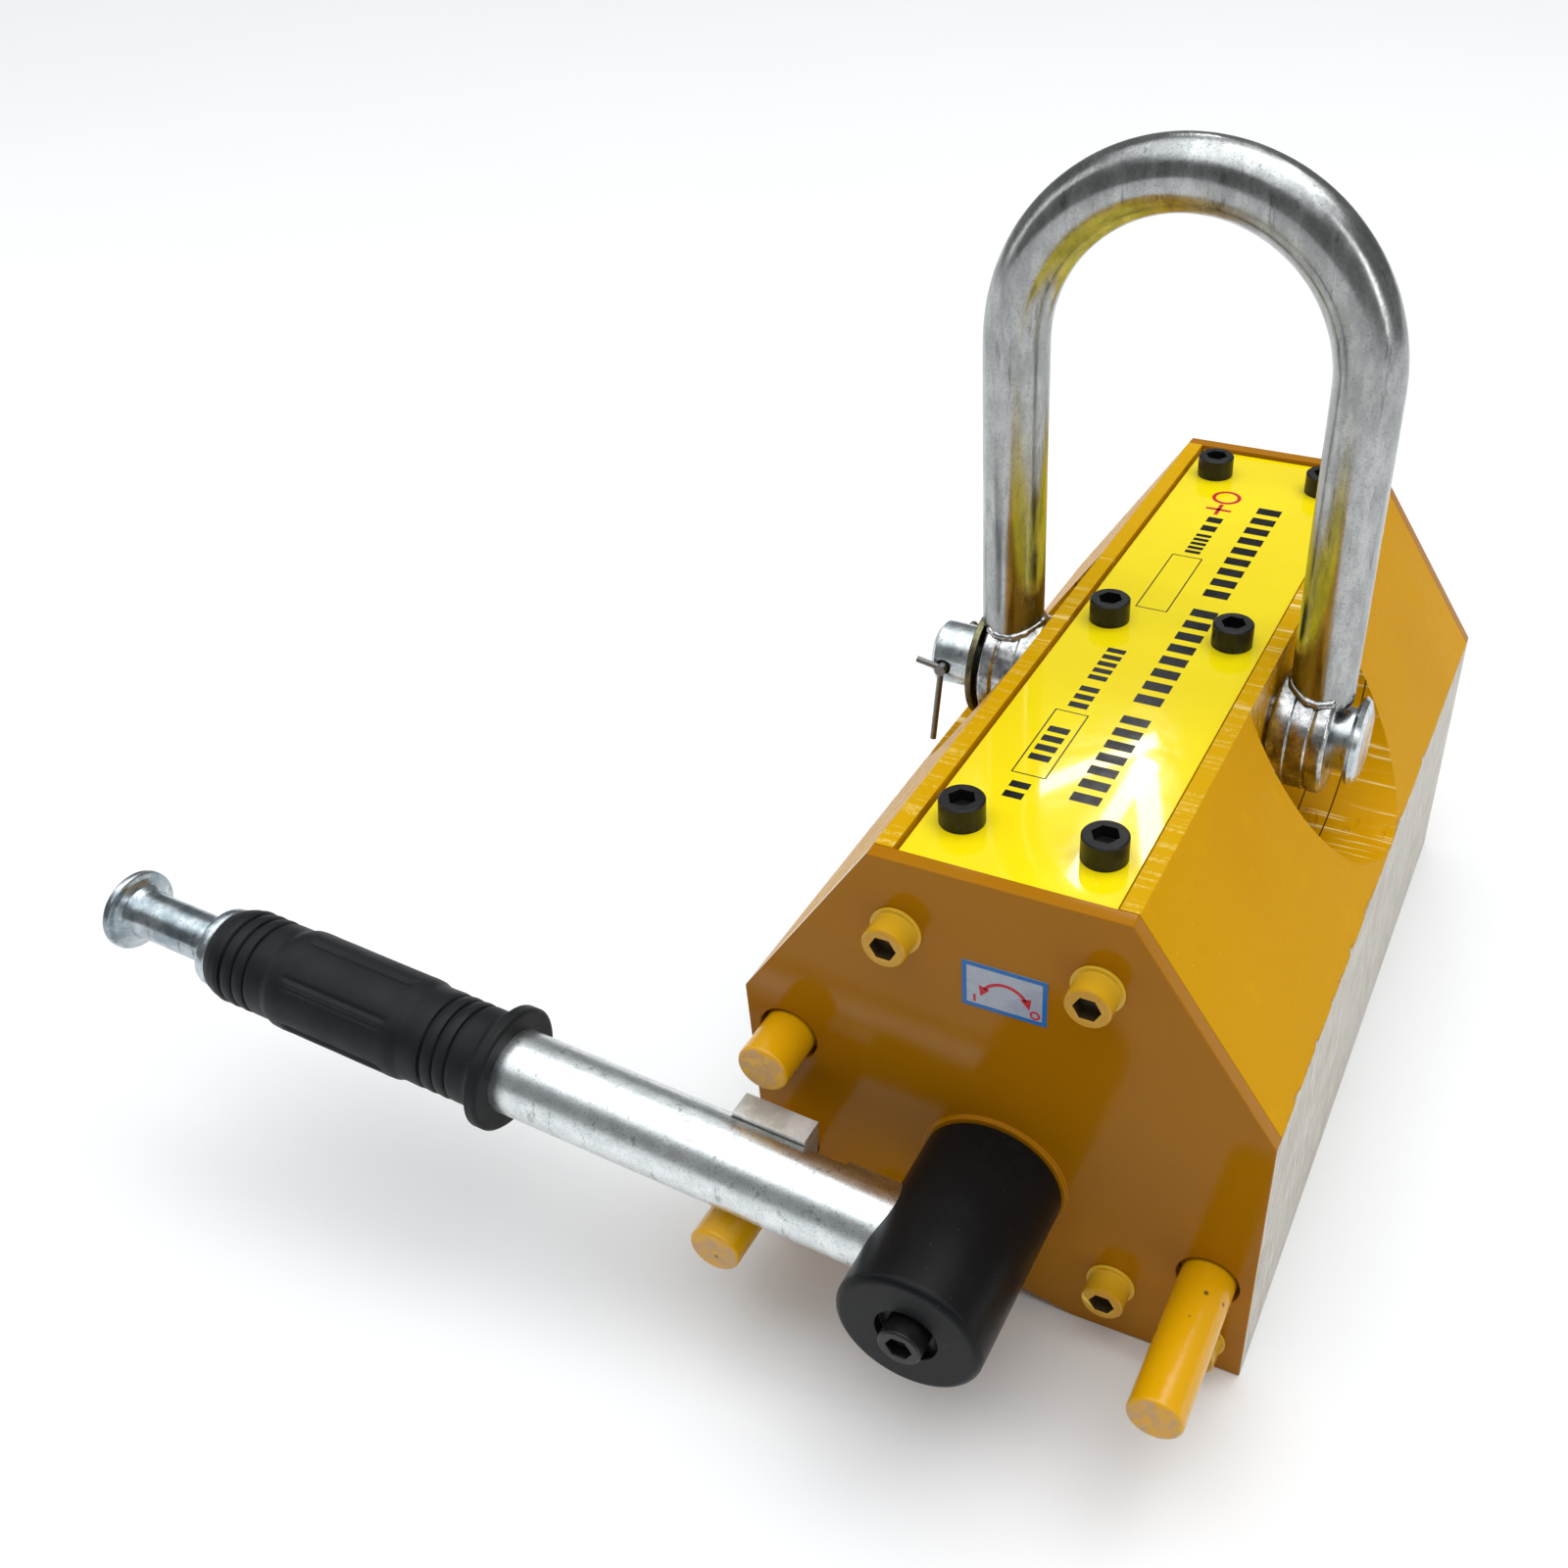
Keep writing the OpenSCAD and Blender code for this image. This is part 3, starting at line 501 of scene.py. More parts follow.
def socket_dark():
    """Dark colour down in the screw sockets, near black to brown in clumps."""
    s = Shader("socket_dark")
    clump = s.noise(900, 4, 0.7)
    colour = s.mix(clump, (0.012, 0.009, 0.006), (0.11, 0.065, 0.02))
    return s.finish(colour, s.span(clump, 0.3, 0.7, 0.35, 0.6), 0.2, s.bump(clump, 0.15 * MM, 0.7))


PAINT = body_paint()
SHADED_PLATE_PAINT = shaded_plate_paint()
SCREW_PAINT = screw_paint()
LONG_PIN_PAINT = pin_paint("long_pin_paint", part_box("long_stop_pins")[0].y)
LOCK_PIN_PAINT = pin_paint("lock_pin_paint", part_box("lock_pin")[0].y)
COVER_PAINT = cover_paint()
BOW_ZINC = zinc("bow_zinc", (0.30, 0.31, 0.305), (0.46, 0.47, 0.465), (0.15, 0.30), 170, (1, 1, 0.35), 0.45)
EYE_ZINC = zinc("eye_zinc", (0.26, 0.265, 0.265), (0.74, 0.745, 0.74), (0.16, 0.36), 150, (1, 1, 1), 0.45)
TUBE_ZINC = zinc("tube_zinc", (0.68, 0.72, 0.725), (0.82, 0.85, 0.855), (0.27, 0.36), 200, (0.8, 1, 1), 0.50)
ROD_ZINC = zinc("rod_zinc", (0.26, 0.315, 0.345), (0.56, 0.61, 0.63), (0.16, 0.32), 120)
PIN_ZINC = zinc("pin_zinc", (0.42, 0.47, 0.49), (0.76, 0.79, 0.80), (0.16, 0.32), 130)
OLIVE_ZINC = zinc("olive_zinc", (0.115, 0.105, 0.055), (0.24, 0.22, 0.13), (0.28, 0.40), 140)
DULL_ZINC = dull_zinc()
BLACK_OXIDE = black_oxide()
BLACK_PAINT = black_paint()
RUBBER = rubber()
LABEL_FILM = label_film()
SOCKET_DARK = socket_dark()
BARE_STEEL = machined("bare_steel", (0.66, 0.655, 0.65), (0.40, 0.395, 0.385))
PIN_STEEL = machined("pin_steel", (0.30, 0.29, 0.28), (0.12, 0.115, 0.11), 0.40)
BRONZE = machined("bronze", (0.62, 0.40, 0.20), (0.40, 0.24, 0.11), 0.36)
ALUMINIUM = machined("aluminium_block", (0.80, 0.81, 0.82), (0.62, 0.63, 0.64), 0.32)
MAGNET = machined("magnet_nickel", (0.62, 0.60, 0.56), (0.44, 0.42, 0.38), 0.28)
INK_BLACK = ink("ink_black", (0.006, 0.006, 0.006))
INK_RED = ink("ink_red", (0.52, 0.02, 0.03))
INK_BLUE = ink("ink_blue", (0.02, 0.14, 0.42))


# ---------------------------------------------------------------- shapes

def make(name, bm, material, sharp=32):
    """An object from a bmesh, smooth but for edges sharper than this many degrees."""
    bmesh.ops.recalc_face_normals(bm, faces=bm.faces)
    mesh = bpy.data.meshes.new(name)
    bm.to_mesh(mesh)
    bm.free()
    mesh.shade_smooth()
    mesh.set_sharp_from_angle(angle=math.radians(sharp))
    mesh.materials.append(material)
    obj = bpy.data.objects.new(name, mesh)
    bpy.context.scene.collection.objects.link(obj)
    return obj


def stand_for(obj, *nodes):
    """obj joins the body of these CAD nodes, which are hidden in its place."""
    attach(obj, NODES[nodes[0]]["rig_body"])
    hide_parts(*nodes)
    return obj


def skin(node, width, material, steps=2, least=28):
    """The CAD node's shape with its sharp edges rounded by this width."""
    bm = bmesh.new()
    bm.from_mesh(NODES[node].data)
    bmesh.ops.remove_doubles(bm, verts=bm.verts, dist=2e-6)
    bmesh.ops.dissolve_limit(bm, angle_limit=math.radians(0.4), verts=bm.verts, edges=bm.edges)
    bm.normal_update()
    hard = [e for e in bm.edges if len(e.link_faces) == 2 and e.calc_face_angle(0) > math.radians(least)]
    bmesh.ops.bevel(
        bm, geom=hard, offset=width, offset_type="OFFSET", segments=steps,
        profile=0.5, affect="EDGES", clamp_overlap=True, loop_slide=True,
    )
    bmesh.ops.remove_doubles(bm, verts=bm.verts, dist=1e-7)
    for face in bm.faces:
        face.material_index = 0
    obj = make(f"{node}_skin", bm, material, 30)
    fit = obj.modifiers.new("flats", "WEIGHTED_NORMAL")
    fit.keep_sharp = True
    fit.weight = 100
    return stand_for(obj, node)


def paint_faces(obj, material, chosen):
    """A second material on the faces whose middle is chosen."""
    obj.data.materials.append(material)
    index = len(obj.data.materials) - 1
    for face in obj.data.polygons:
        if chosen(face.center):
            face.material_index = index


def rounded(points, radius, steps=5):
    """The polyline with each inner corner rounded to at most this radius."""
    out = [Vector(points[0])]
    for before, here, after in zip(points, points[1:], points[2:]):
        a, b, c = Vector(before), Vector(here), Vector(after)
        u, v = (a - b), (c - b)
        turn = math.pi - u.angle(v)
        if turn < math.radians(8):
            out.append(b)
            continue
        cut = min(radius * math.tan(turn / 2), 0.45 * u.length, 0.45 * v.length)
        start, end = b + u.normalized() * cut, b + v.normalized() * cut
        for i in range(steps + 1):
            t = i / steps
            out.append((1 - t) ** 2 * start + 2 * t * (1 - t) * b + t * t * end)
    out.append(Vector(points[-1]))
    return out


def lathe(name, outline, origin, axis, material, sides=96, closed=False, shift=None, sharp=32):
    """Turns (distance along the axis, radius) points round the axis.

    shift(distance, radius, angle) may move each point."""
    axis = Vector(axis).normalized()
    one = axis.orthogonal().normalized()
    two = axis.cross(one)
    bm = bmesh.new()
    rings = []
    for point in outline:
        along, radius = point[0], point[1]
        if radius < 1e-7:
            rings.append([bm.verts.new(Vector(origin) + axis * along)])
            continue
        ring = []
        for i in range(sides):
            a = 2 * math.pi * i / sides
            d, r = shift(along, radius, a) if shift else (along, radius)
            out = one * math.cos(a) + two * math.sin(a)
            ring.append(bm.verts.new(Vector(origin) + axis * d + out * r))
        rings.append(ring)
    pairs = list(zip(rings, rings[1:]))
    if closed:
        pairs.append((rings[-1], rings[0]))
    for a, b in pairs:
        for i in range(sides):
            j = (i + 1) % sides
            if len(a) == 1 and len(b) == 1:
                continue
            if len(a) == 1:
                bm.faces.new((a[0], b[j], b[i]))
            elif len(b) == 1:
                bm.faces.new((a[i], a[j], b[0]))
            else:
                bm.faces.new((a[i], a[j], b[j], b[i]))
    return make(name, bm, material, sharp)


def sweep(name, path, radius, material, sides=16, closed=False, up=(0, 1, 0)):
    """A round wire along the path; radius is a number or a function of (step, angle, point)."""
    bm = bmesh.new()
    rings = []
    count = len(path)
    side = None
    for i, point in enumerate(path):
        before = path[(i - 1) % count] if closed or i else point
        after = path[(i + 1) % count] if closed or i < count - 1 else point
        tangent = (Vector(after) - Vector(before)).normalized()
        if side is None:
            side = Vector(up) - tangent * Vector(up).dot(tangent)
            if side.length < 1e-4:
                side = tangent.orthogonal()
        side = (side - tangent * side.dot(tangent)).normalized()
        other = tangent.cross(side)
        ring = []
        for j in range(sides):
            a = 2 * math.pi * j / sides
            out = side * math.cos(a) + other * math.sin(a)
            r = radius(i, a, Vector(point)) if callable(radius) else radius
            ring.append(bm.verts.new(Vector(point) + out * r))
        rings.append(ring)
    pairs = list(zip(rings, rings[1:]))
    if closed:
        pairs.append((rings[-1], rings[0]))
    else:
        bm.faces.new(rings[0])
        bm.faces.new(list(reversed(rings[-1])))
    for a, b in pairs:
        for j in range(sides):
            k = (j + 1) % sides
            bm.faces.new((a[j], b[j], b[k], a[k]))
    return make(name, bm, material, WIRE_SHARP)


class Print:
    """Thin printed shapes on a flat face: at(u, v, h) gives the point at height h over the face."""

    def __init__(self, at, low, high):
        self.bm = bmesh.new()
        self.at = at
        self.low = low
        self.high = high

    def band(self, inner, outer, closed=False):
        """The strip between two lines with the same number of points."""
        rows = []
        for h in (self.low, self.high):
            rows.append([[self.bm.verts.new(self.at(u, v, h)) for u, v in line] for line in (inner, outer)])
        (low_in, low_out), (top_in, top_out) = rows
        count = len(inner)
        for i in range(count if closed else count - 1):
            j = (i + 1) % count
            self.bm.faces.new((top_in[i], top_in[j], top_out[j], top_out[i]))
            self.bm.faces.new((low_in[j], low_in[i], low_out[i], low_out[j]))
            self.bm.faces.new((low_in[i], low_in[j], top_in[j], top_in[i]))
            self.bm.faces.new((low_out[j], low_out[i], top_out[i], top_out[j]))
        if not closed:
            self.bm.faces.new((low_in[0], top_in[0], top_out[0], low_out[0]))
            self.bm.faces.new((low_in[-1], low_out[-1], top_out[-1], top_in[-1]))

    def bar(self, u0, v0, u1, v1):
        self.band([(u0, v0), (u0, v1)], [(u1, v0), (u1, v1)])

    def frame(self, u0, v0, u1, v1, width):
        outer = [(u0, v0), (u1, v0), (u1, v1), (u0, v1)]
        u2, v2 = u0 + width, v0 + width
        u3, v3 = u1 - width, v1 - width
        self.band([(u2, v2), (u3, v2), (u3, v3), (u2, v3)], outer, closed=True)

    def arc(self, u, v, radius, width, start, end, steps=40):
        closed = abs(end - start) >= 360
        count = steps if closed else steps + 1
        angles = [math.radians(start + (end - start) * i / steps) for i in range(count)]
        lines = [
            [(u + r * math.cos(a), v + r * math.sin(a)) for a in angles]
            for r in (radius - width / 2, radius + width / 2)
        ]
        self.band(lines[0], lines[1], closed)

    def wedge(self, corners):
        low = [self.bm.verts.new(self.at(u, v, self.low)) for u, v in corners]
        top = [self.bm.verts.new(self.at(u, v, self.high)) for u, v in corners]
        self.bm.faces.new(top)
        self.bm.faces.new(list(reversed(low)))
        for i in range(len(corners)):
            j = (i + 1) % len(corners)
            self.bm.faces.new((low[i], low[j], top[j], top[i]))

    def done(self, name, material, body):
        obj = make(name, self.bm, material, 20)
        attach(obj, body)
        return obj


# ---------------------------------------------------------------- body

def build_body():
    for node in ("left_pole", "right_pole"):
        skin(node, 0.45 * MM, PAINT, 3)
    for node in ("front_end_plate", "rear_end_plate"):
        flatten(skin(node, 0.6 * MM, SHADED_PLATE_PAINT, 3))
    trim(skin("cover_plate", 0.30 * MM, COVER_PAINT, 3), COVER_GAP)
    skin("bottom_spacer", 0.3 * MM, BRONZE)
    skin("long_stop_pins", 0.5 * MM, LONG_PIN_PAINT, 3)
    skin("lock_pin", 0.5 * MM, LOCK_PIN_PAINT, 3)
    skin("cover_screws", 0.25 * MM, BLACK_OXIDE)
    for node in ("front_plate_screws", "rear_plate_screws"):
        screws = skin(node, 0.3 * MM, SCREW_PAINT)
        paint_sockets(screws, node)
    for node in ("front_screw_washers", "rear_screw_washers"):
        skin(node, 0.2 * MM, SCREW_PAINT)
    for node, material in (
        ("stator_magnets", MAGNET), ("stator_block", ALUMINIUM),
        ("front_bush", BRONZE), ("rear_bush", BRONZE),
        ("rotor_poles", BARE_STEEL), ("rotor_magnets", MAGNET), ("front_shaft", BARE_STEEL),
        ("rear_shaft", BARE_STEEL), ("rotor_cap_screws", BLACK_OXIDE), ("hub_key", BARE_STEEL),
        ("spring_seat", BARE_STEEL), ("direction_label", LABEL_FILM),
    ):
        NODES[node].data.materials.clear()
        NODES[node].data.materials.append(material)


def flatten(plate):
    """The plate's two big faces are shaded flat, so that no edge between their polygons shows."""
    for face in plate.data.polygons:
        if abs(face.normal.y) > 0.9999:
            face.use_smooth = False


def trim(cover, gap):
    """Draws the cover's long edges in, so that a dark gap shows beside the rails."""
    edge = COVER_HI.x - 2 * MM
    for vertex in cover.data.vertices:
        if abs(vertex.co.x) > edge:
            vertex.co.x -= math.copysign(gap, vertex.co.x)


def paint_sockets(screws, node):
    """The hexagon sockets are coloured dark: their faces lie close round a screw's axis."""
    low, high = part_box(node)
    face_y = low.y if abs(low.y) > abs(high.y) else high.y

    def in_socket(middle):
        below_face = abs(face_y) - abs(middle.y)
        if below_face < 0.2 * MM or below_face > SOCKET_DEPTH:
            return False
        return any(
            math.hypot(abs(middle.x) - x * MM, middle.z - z * MM) < SOCKET_R
            for x, z in PLATE_SCREW_PLACES
        )

    paint_faces(screws, SOCKET_DARK, in_socket)


def row(art, u, v_start, height, v_end, count):
    """A word's worth of plain printed blocks towards the front, with no lettering in it."""
    pitch = (v_start - v_end) / (count - 0.4)
    for i in range(count):
        v = v_start - i * pitch
        art.bar(u, v - 0.6 * pitch, u + height, v)


def build_cover_print():
    top = COVER_HI.z

    def at(u, v, h):
        return Vector((u * MM, v * MM, top + h * MM))

    black = Print(at, -0.05, 0.05)
    row(black, 2.7, 95.5, 8.5, 26.0, 9)
    row(black, 2.7, 16.7, 8.5, -43.5, 8)
    row(black, 2.7, -51.5, 8.5, -97.0, 7)
    row(black, -12.0, 82.0, 5.4, 71.0, 2)
    row(black, -12.0, 68.0, 5.4, 53.0, 5)
    black.frame(-15.3, 10.9, -4.5, 50.2, 0.4)
    row(black, -14.4, -17.0, 6.0, -36.5, 5)
    row(black, -14.4, -41.0, 6.0, -53.2, 3)
    black.frame(-17.0, -90.8, -6.5, -56.0, 0.4)
    row(black, -15.2, -65.0, 6.4, -83.0, 4)
    row(black, -15.0, -94.5, 5.8, -102.4, 2)
    black.done("cover_print_black", INK_BLACK, "body")
    red = Print(at, -0.05, 0.05)
    red.arc(-10.4, 99.0, 4.6, 1.4, 0, 360)
    red.bar(-11.1, 84.5, -9.7, 93.0)
    red.bar(-15.0, 88.0, -5.8, 89.4)
    red.done("cover_print_red", INK_RED, "body")


def build_label_print():
    low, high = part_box("direction_label")
    middle = (low + high) / 2
    half_w = (high.x - low.x) / 2 / MM
    half_h = (high.z - low.z) / 2 / MM

    def at(u, v, h):
        return Vector((middle.x + u * MM, low.y - h * MM, middle.z + v * MM))

    blue = Print(at, -0.03, 0.04)
    blue.frame(-half_w, -half_h, half_w, half_h, 1.35)
    blue.done("label_print_blue", INK_BLUE, "body")
    red = Print(at, -0.03, 0.05)
    red.arc(0.2, -4.4, 7.0, 1.0, 32, 148)
    red.wedge([(4.6, -0.6), (7.8, 0.4), (7.3, -3.6)])
    red.wedge([(-4.2, -0.6), (-6.9, -3.6), (-7.4, 0.4)])
    red.bar(-9.0, -6.0, -8.3, -3.4)
    red.arc(8.9, -4.9, 1.2, 0.6, 0, 360, 24)
    red.done("label_print_red", INK_RED, "body")


# ---------------------------------------------------------------- handle

def along_handle(name, outline, material, **more):
    """A turned piece on the handle's axis; the outline is in millimetres from the hub's axis."""
    points = [(d * MM, r * MM) for d, r in outline]
    return lathe(name, points, HANDLE_AT, HANDLE_DIR, material, **more)


def reach(node):
    """Where a CAD node starts and ends along the handle, in millimetres from the hub's axis."""
    along = [(v.co - HANDLE_AT).dot(HANDLE_DIR) / MM for v in NODES[node].data.vertices]
    return min(along), max(along)


def build_grip():
    """Moulded grip: guard flange, two groups of ring grooves and a raised barrel with long flutes."""
    start, end = reach("grip")
    inner = 13.47
    ring = 15.7
    barrel = 16.75
    barrel_start = start + 35
    barrel_end = barrel_start + 47
    outline = [
        (start, inner), (start, 19.3), (start + 0.7, 20.0), (start + 3.7, 20.0), (start + 4.6, 18.9),
        (start + 6.6, 16.0), (start + 8.0, ring),
    ]
    for group in (start + 13.8, barrel_end + 9.4):
        for i in range(3):
            at = group + i * 4.7
            outline += [
                (at, ring), (at + 0.4, ring - 0.15), (at + 0.7, ring - 1.0), (at + 1.5, ring - 1.0),
                (at + 1.8, ring - 0.15), (at + 2.2, ring), (at + 3.4, ring + 0.15),
            ]
        if group < barrel_start:
            outline += [
                (barrel_start - 2, ring), (barrel_start + 0.6, barrel - 0.15), (barrel_start + 3, barrel),
                (barrel_end - 2, barrel), (barrel_end + 0.4, barrel - 0.15), (barrel_end + 3, ring),
            ]
    outline += [
        (end - 6.8, ring), (end - 3.3, ring - 0.5), (end - 1, ring - 1.4), (end, ring - 2.2), (end, inner),
    ]
    flutes = 6
    fine = refine(outline, 0.7)

    def shift(along, radius, angle):
        r = radius
        if radius > 15.6 * MM:
            s = along / MM
            inside = smooth_step(barrel_start + 2, barrel_start + 6, s)
            inside *= 1 - smooth_step(barrel_end - 7, barrel_end - 3, s)
            turn = (angle * flutes / (2 * math.pi)) % 1.0
            away = abs(turn - 0.5) / flutes * 2 * math.pi * barrel
            ridge = math.exp(-(away / 0.6) ** 2) - math.exp(-((away - 1.6) / 0.7) ** 2)
            r += inside * ridge * 0.45 * MM - inside * 0.10 * MM
        r += 0.05 * MM * noise.noise(Vector((along * 90, math.cos(angle) * 2, math.sin(angle) * 2)))
        return along, r

    grip = along_handle("grip_moulding", fine, RUBBER, sides=288, closed=True, shift=shift, sharp=50)
    return stand_for(grip, "grip")


def refine(outline, step):
    """More points along the outline, no further apart than this."""
    out = []
    for a, b in zip(outline, outline[1:]):
        length = math.hypot(b[0] - a[0], b[1] - a[1])
        count = max(1, int(length / step))
        for i in range(count):
            out.append((a[0] + (b[0] - a[0]) * i / count, a[1] + (b[1] - a[1]) * i / count))
    return out + [outline[-1]]


def smooth_step(low, high, value):
    t = min(1, max(0, (value - low) / (high - low)))
    return t * t * (3 - 2 * t)


def build_handle():
    skin("handle_tube", 0.25 * MM, TUBE_ZINC)
    skin("hub", 0.35 * MM, BLACK_PAINT, 3)
    skin("hub_bolt", 0.3 * MM, BLACK_OXIDE)
    build_grip()
    low, high = reach("tube_collar")
    tube_end = reach("handle_tube")[1] - 0.05
    bore, plug, rim = 8.05, 10.43, 13.45
    outline = [(low, bore), (low, plug), (tube_end, plug), (tube_end, rim), (high, rim), (high, bore)]
    collar = along_handle("collar_turned", rounded(outline, 2.0), ROD_ZINC, closed=True)
    stand_for(collar, "tube_collar")
    low, high = reach("push_rod")
    outline = [(low, 0), (low, 7.2), (low + 0.8, 8)]
    # the flared knob: distance back from its face, and radius
    flare = [
        (10, 8), (6.5, 8.4), (4.4, 9.6), (3.1, 11.6), (2.9, 13.2), (2.3, 13.7), (0.7, 13.7),
        (0, 13.0), (0, 11.5), (0.4, 10.5), (0.4, 0),
    ]
    outline += [(high - back, r) for back, r in flare]
    rod = along_handle("push_rod_turned", rounded(outline, 1.2, 4), ROD_ZINC)
    stand_for(rod, "push_rod")
    skin("latch_block", 0.7 * MM, DULL_ZINC, 3)
    build_spring()


def build_spring():
    """The latch spring: a coil of wire within the CAD spring's length."""
    turns, steps, radius, wire = 8, 40, 6.0, 0.88
    start, end = reach("latch_spring")
    one = Vector((0, 1, 0))
    two = HANDLE_UP
    path = []
    for i in range(turns * steps + 1):
        share = i / (turns * steps)
        a = 2 * math.pi * turns * share
        # the end coils stay inside the CAD spring's length
        s = start + wire + (end - start - 2 * wire) * share
        out = one * math.cos(a) + two * math.sin(a)
        path.append(HANDLE_AT + HANDLE_DIR * s * MM + out * radius * MM)
    spring = sweep("latch_spring_wire", path, wire * MM, BARE_STEEL, 12, up=HANDLE_DIR)
    stand_for(spring, "latch_spring")
    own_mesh(spring)


# ---------------------------------------------------------------- bow

def build_bow():
    """A bent bar: its ends reach into the eyes, and its surface is slightly uneven from the bending."""
    path = []
    foot = PIN_Z + 14 * MM
    crown = PIN_Z + LEG_H
    legs, turn = 46, 120
    for i in range(legs):
        path.append(Vector((BOW_X - LEG_X, 0, foot + (crown - foot) * i / legs)))
    for i in range(turn + 1):
        a = math.pi - math.pi * i / turn
        path.append(Vector((BOW_X + LEG_X * math.cos(a), 0, crown + LEG_X * math.sin(a))))
    for i in range(1, legs + 1):
        path.append(Vector((BOW_X + LEG_X, 0, crown + (foot - crown) * i / legs)))

    def radius(step, angle, point):
        around = Vector((math.cos(angle) * 1.3, math.sin(angle) * 1.3, 0))
        slow = noise.noise(around + point * 45)
        drawn = noise.noise(Vector((math.cos(angle) * 5, math.sin(angle) * 5, step * 0.045)))
        return BAR_R + (0.10 * slow + 0.07 * drawn - 0.09) * MM

    bar = sweep("bow_bar_bent", path, radius, BOW_ZINC, 120)
    stand_for(bar, "bow_bar")
    build_eyes()
    build_weld_beads()


def build_eyes():
    """Each eye is a turned boss of three rings with rough weld seams between them."""
    width = EYE_W / MM
    bore = CLEVIS_R / MM + 0.1
    r = EYE_R / MM
    outline = [
        (0, bore), (0, r - 1.5), (1.0, r - 0.3), (6.2, r - 0.1), (6.6, r - 0.8), (7.4, r - 0.7),
        (12.3, r - 0.4), (12.8, r - 0.9), (13.3, r - 0.6), (13.9, r - 0.1), (width - 1.2, r - 0.15),
        (width, r - 1.3), (width, bore),
    ]
    bm = bmesh.new()
    for side in (-1, 1):
        points = [(p.x * MM, p.y * MM) for p in rounded([Vector((a, b)) for a, b in outline], 0.8, 3)]

        def shift(along, radius, angle):
            if radius < 14 * MM:
                return along, radius
            lump = noise.noise(Vector((along * 260, math.cos(angle) * 7 + side * 7, math.sin(angle) * 7)))
            slow = noise.noise(Vector((along * 90, math.cos(angle) * 2.5 + side * 3, math.sin(angle) * 2.5)))
            return along, min(EYE_R, radius + (0.20 * lump + 0.25 * slow - 0.22) * MM)

        inner = EYE_HI.x - EYE_W if side > 0 else EYE_LO.x + EYE_W
        part = lathe(f"eye{side}", points, (inner, 0, PIN_Z), (side, 0, 0), EYE_ZINC, 160, True, shift, 40)
        bm.from_mesh(part.data)
        bpy.data.objects.remove(part)
    eyes = make("bow_eyes_turned", bm, EYE_ZINC, 40)
    stand_for(eyes, "bow_eyes")


def build_weld_beads():
    """Rippled weld beads where the bar's round ends meet the eyes."""
    bm = bmesh.new()
    for side in (-1, 1):
        centre = BOW_X + side * LEG_X
        path = []
        count = 180
        for i in range(count):
            a = 2 * math.pi * i / count
            x = centre + (BAR_R - 0.4 * MM) * math.cos(a)
            y = (BAR_R - 0.4 * MM) * math.sin(a)
            near = EYE_HI.x - 1.6 * MM if side > 0 else EYE_LO.x + 1.6 * MM
            x = min(x, near) if side > 0 else max(x, near)
            z = math.sqrt(EYE_R ** 2 - y ** 2) - 0.5 * MM
            path.append(Vector((x, y, PIN_Z + z)))

        def radius(step, angle, point):
            ripple = 0.5 + 0.5 * math.sin(step * 2 * math.pi / 9)
            uneven = noise.noise(Vector((step * 0.16, side * 3, angle * 0.3)))
            return (1.35 + 0.12 * ripple + 0.55 * uneven) * MM

        part = sweep(f"bead{side}", path, radius, EYE_ZINC, 14, closed=True, up=(0, 0, 1))
        bm.from_mesh(part.data)
        bpy.data.objects.remove(part)
    beads = make("bow_weld_beads", bm, EYE_ZINC, 60)
    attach(beads, "bow")


def build_pin():
    """The clevis pin with its washer and split pin."""
    skin("clevis_washer", 0.4 * MM, OLIVE_ZINC)
    skin("clevis_pin", 0.8 * MM, PIN_ZINC, 4, 24)
    skin("split_pin", 0.15 * MM, PIN_STEEL)


# ---------------------------------------------------------------- stage

def build_stage():
    bm = bmesh.new()
    bmesh.ops.create_circle(bm, cap_ends=True, segments=96, radius=7)
    floor_shader = Shader("floor")
    grain = floor_shader.noise(6, 3)
    tone = floor_shader.mix(grain, (0.86, 0.86, 0.86), (0.88, 0.88, 0.88))
    floor = make("floor", bm, floor_shader.finish(tone, 0.7))
    floor.location.z = -0.0002

    build_sky()
    soft_light("key", (0.45, 0.55, 1.70), (0.0, 0.0, 0.1), 0.9, 0.9, 5)
    soft_light("left_fill", (-1.6, -0.2, 0.9), (0, 0, 0.1), 0.5, 1.4, 2.5)
    # three thin strips that glint in the gloss of the cover's front end
    cover_front = (0.02, -0.11, 0.164)
    soft_light("glint_one", (-0.60, 1.56, 1.42), cover_front, 0.34, 0.025, 0.35, 24)
    soft_light("glint_two", (-0.52, 1.54, 1.50), cover_front, 0.30, 0.03, 0.35, 62)
    soft_light("glint_three", (-0.42, 1.50, 1.46), cover_front, 0.26, 0.04, 0.4, 100)
    soft_light("right_strip", (1.10, -0.30, 0.75), (0.02, 0, 0.15), 0.10, 1.0, 2)


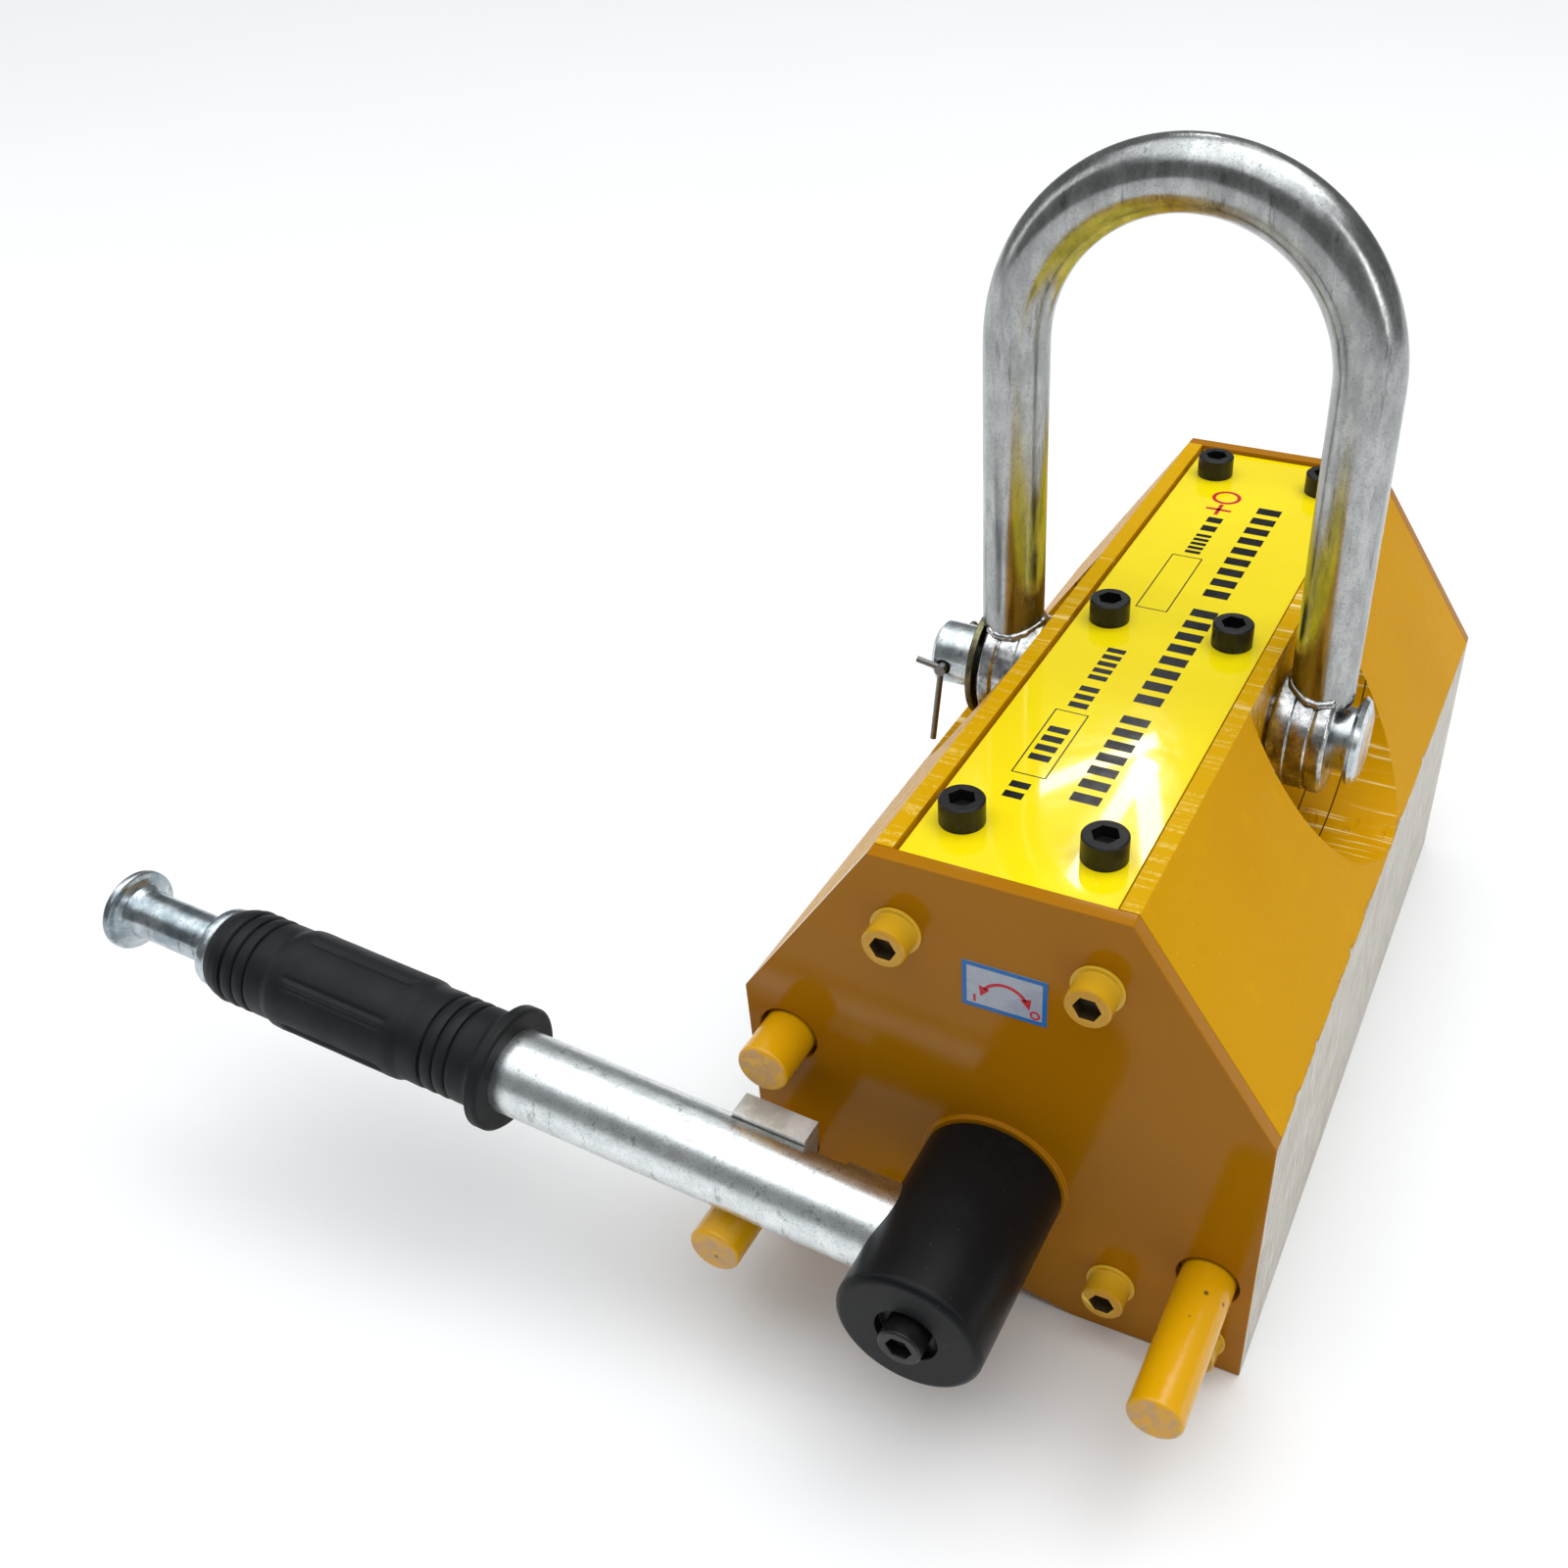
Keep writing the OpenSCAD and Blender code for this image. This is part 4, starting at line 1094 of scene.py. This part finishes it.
def build_sky():
    """A soft overhead glow that falls off towards the horizon, as under a large studio softbox."""
    world = bpy.data.worlds.new("studio")
    bpy.context.scene.world = world
    world.use_nodes = True
    tree = world.node_tree
    background = next(n for n in tree.nodes if n.type == "BACKGROUND")
    place = tree.nodes.new("ShaderNodeTexCoord")
    split = tree.nodes.new("ShaderNodeSeparateXYZ")
    tree.links.new(place.outputs["Generated"], split.inputs[0])
    glow = tree.nodes.new("ShaderNodeMapRange")
    glow.interpolation_type = "SMOOTHSTEP"
    tree.links.new(split.outputs["Z"], glow.inputs["Value"])
    # dim up to the first height, and full above the second
    limits = {"From Min": 0.62, "From Max": 0.95, "To Min": 0.22, "To Max": 2.45}
    for name, number in limits.items():
        glow.inputs[name].default_value = number
    tree.links.new(glow.outputs[0], background.inputs["Strength"])
    background.inputs["Color"].default_value = (0.96, 0.98, 1.0, 1)


def soft_light(name, place, target, width, depth, power, twist=0):
    data = bpy.data.lights.new(name, "AREA")
    data.shape = "RECTANGLE"
    data.size = width
    data.size_y = depth
    data.energy = power
    lamp = bpy.data.objects.new(name, data)
    bpy.context.scene.collection.objects.link(lamp)
    lamp.location = place
    aim = (Vector(target) - Vector(place)).to_track_quat("-Z", "Y")
    lamp.rotation_euler = (aim @ Quaternion((0, 0, 1), math.radians(twist))).to_euler()
    return lamp


CAMERA_PLACE = (0.11893, -0.42430, 0.41848)
CAMERA_FORWARD = (-0.33767, 0.71183, -0.61586)
CAMERA_ROLL = -1.337


def build_camera():
    """The photograph's view, solved from the body's corners and the lever, pins and bow."""
    data = bpy.data.cameras.new("camera")
    data.sensor_width = 36
    data.lens = 36.05
    data.shift_x = -0.1
    data.shift_y = 0.0375
    data.clip_start = 0.02
    data.clip_end = 50
    camera = bpy.data.objects.new("camera", data)
    bpy.context.scene.collection.objects.link(camera)
    forward = Vector(CAMERA_FORWARD).normalized()
    level = forward.cross(Vector((0, 0, 1))).normalized()
    above = level.cross(forward)
    roll = math.radians(CAMERA_ROLL)
    right = level * math.cos(roll) + above * math.sin(roll)
    up = right.cross(forward)
    turn = Matrix((right, up, -forward)).transposed().to_4x4()
    camera.matrix_world = Matrix.Translation(CAMERA_PLACE) @ turn
    bpy.context.scene.camera = camera


build_body()
build_cover_print()
build_label_print()
build_handle()
build_bow()
build_pin()
build_stage()
build_camera()
bpy.context.scene.view_settings.view_transform = "Standard"
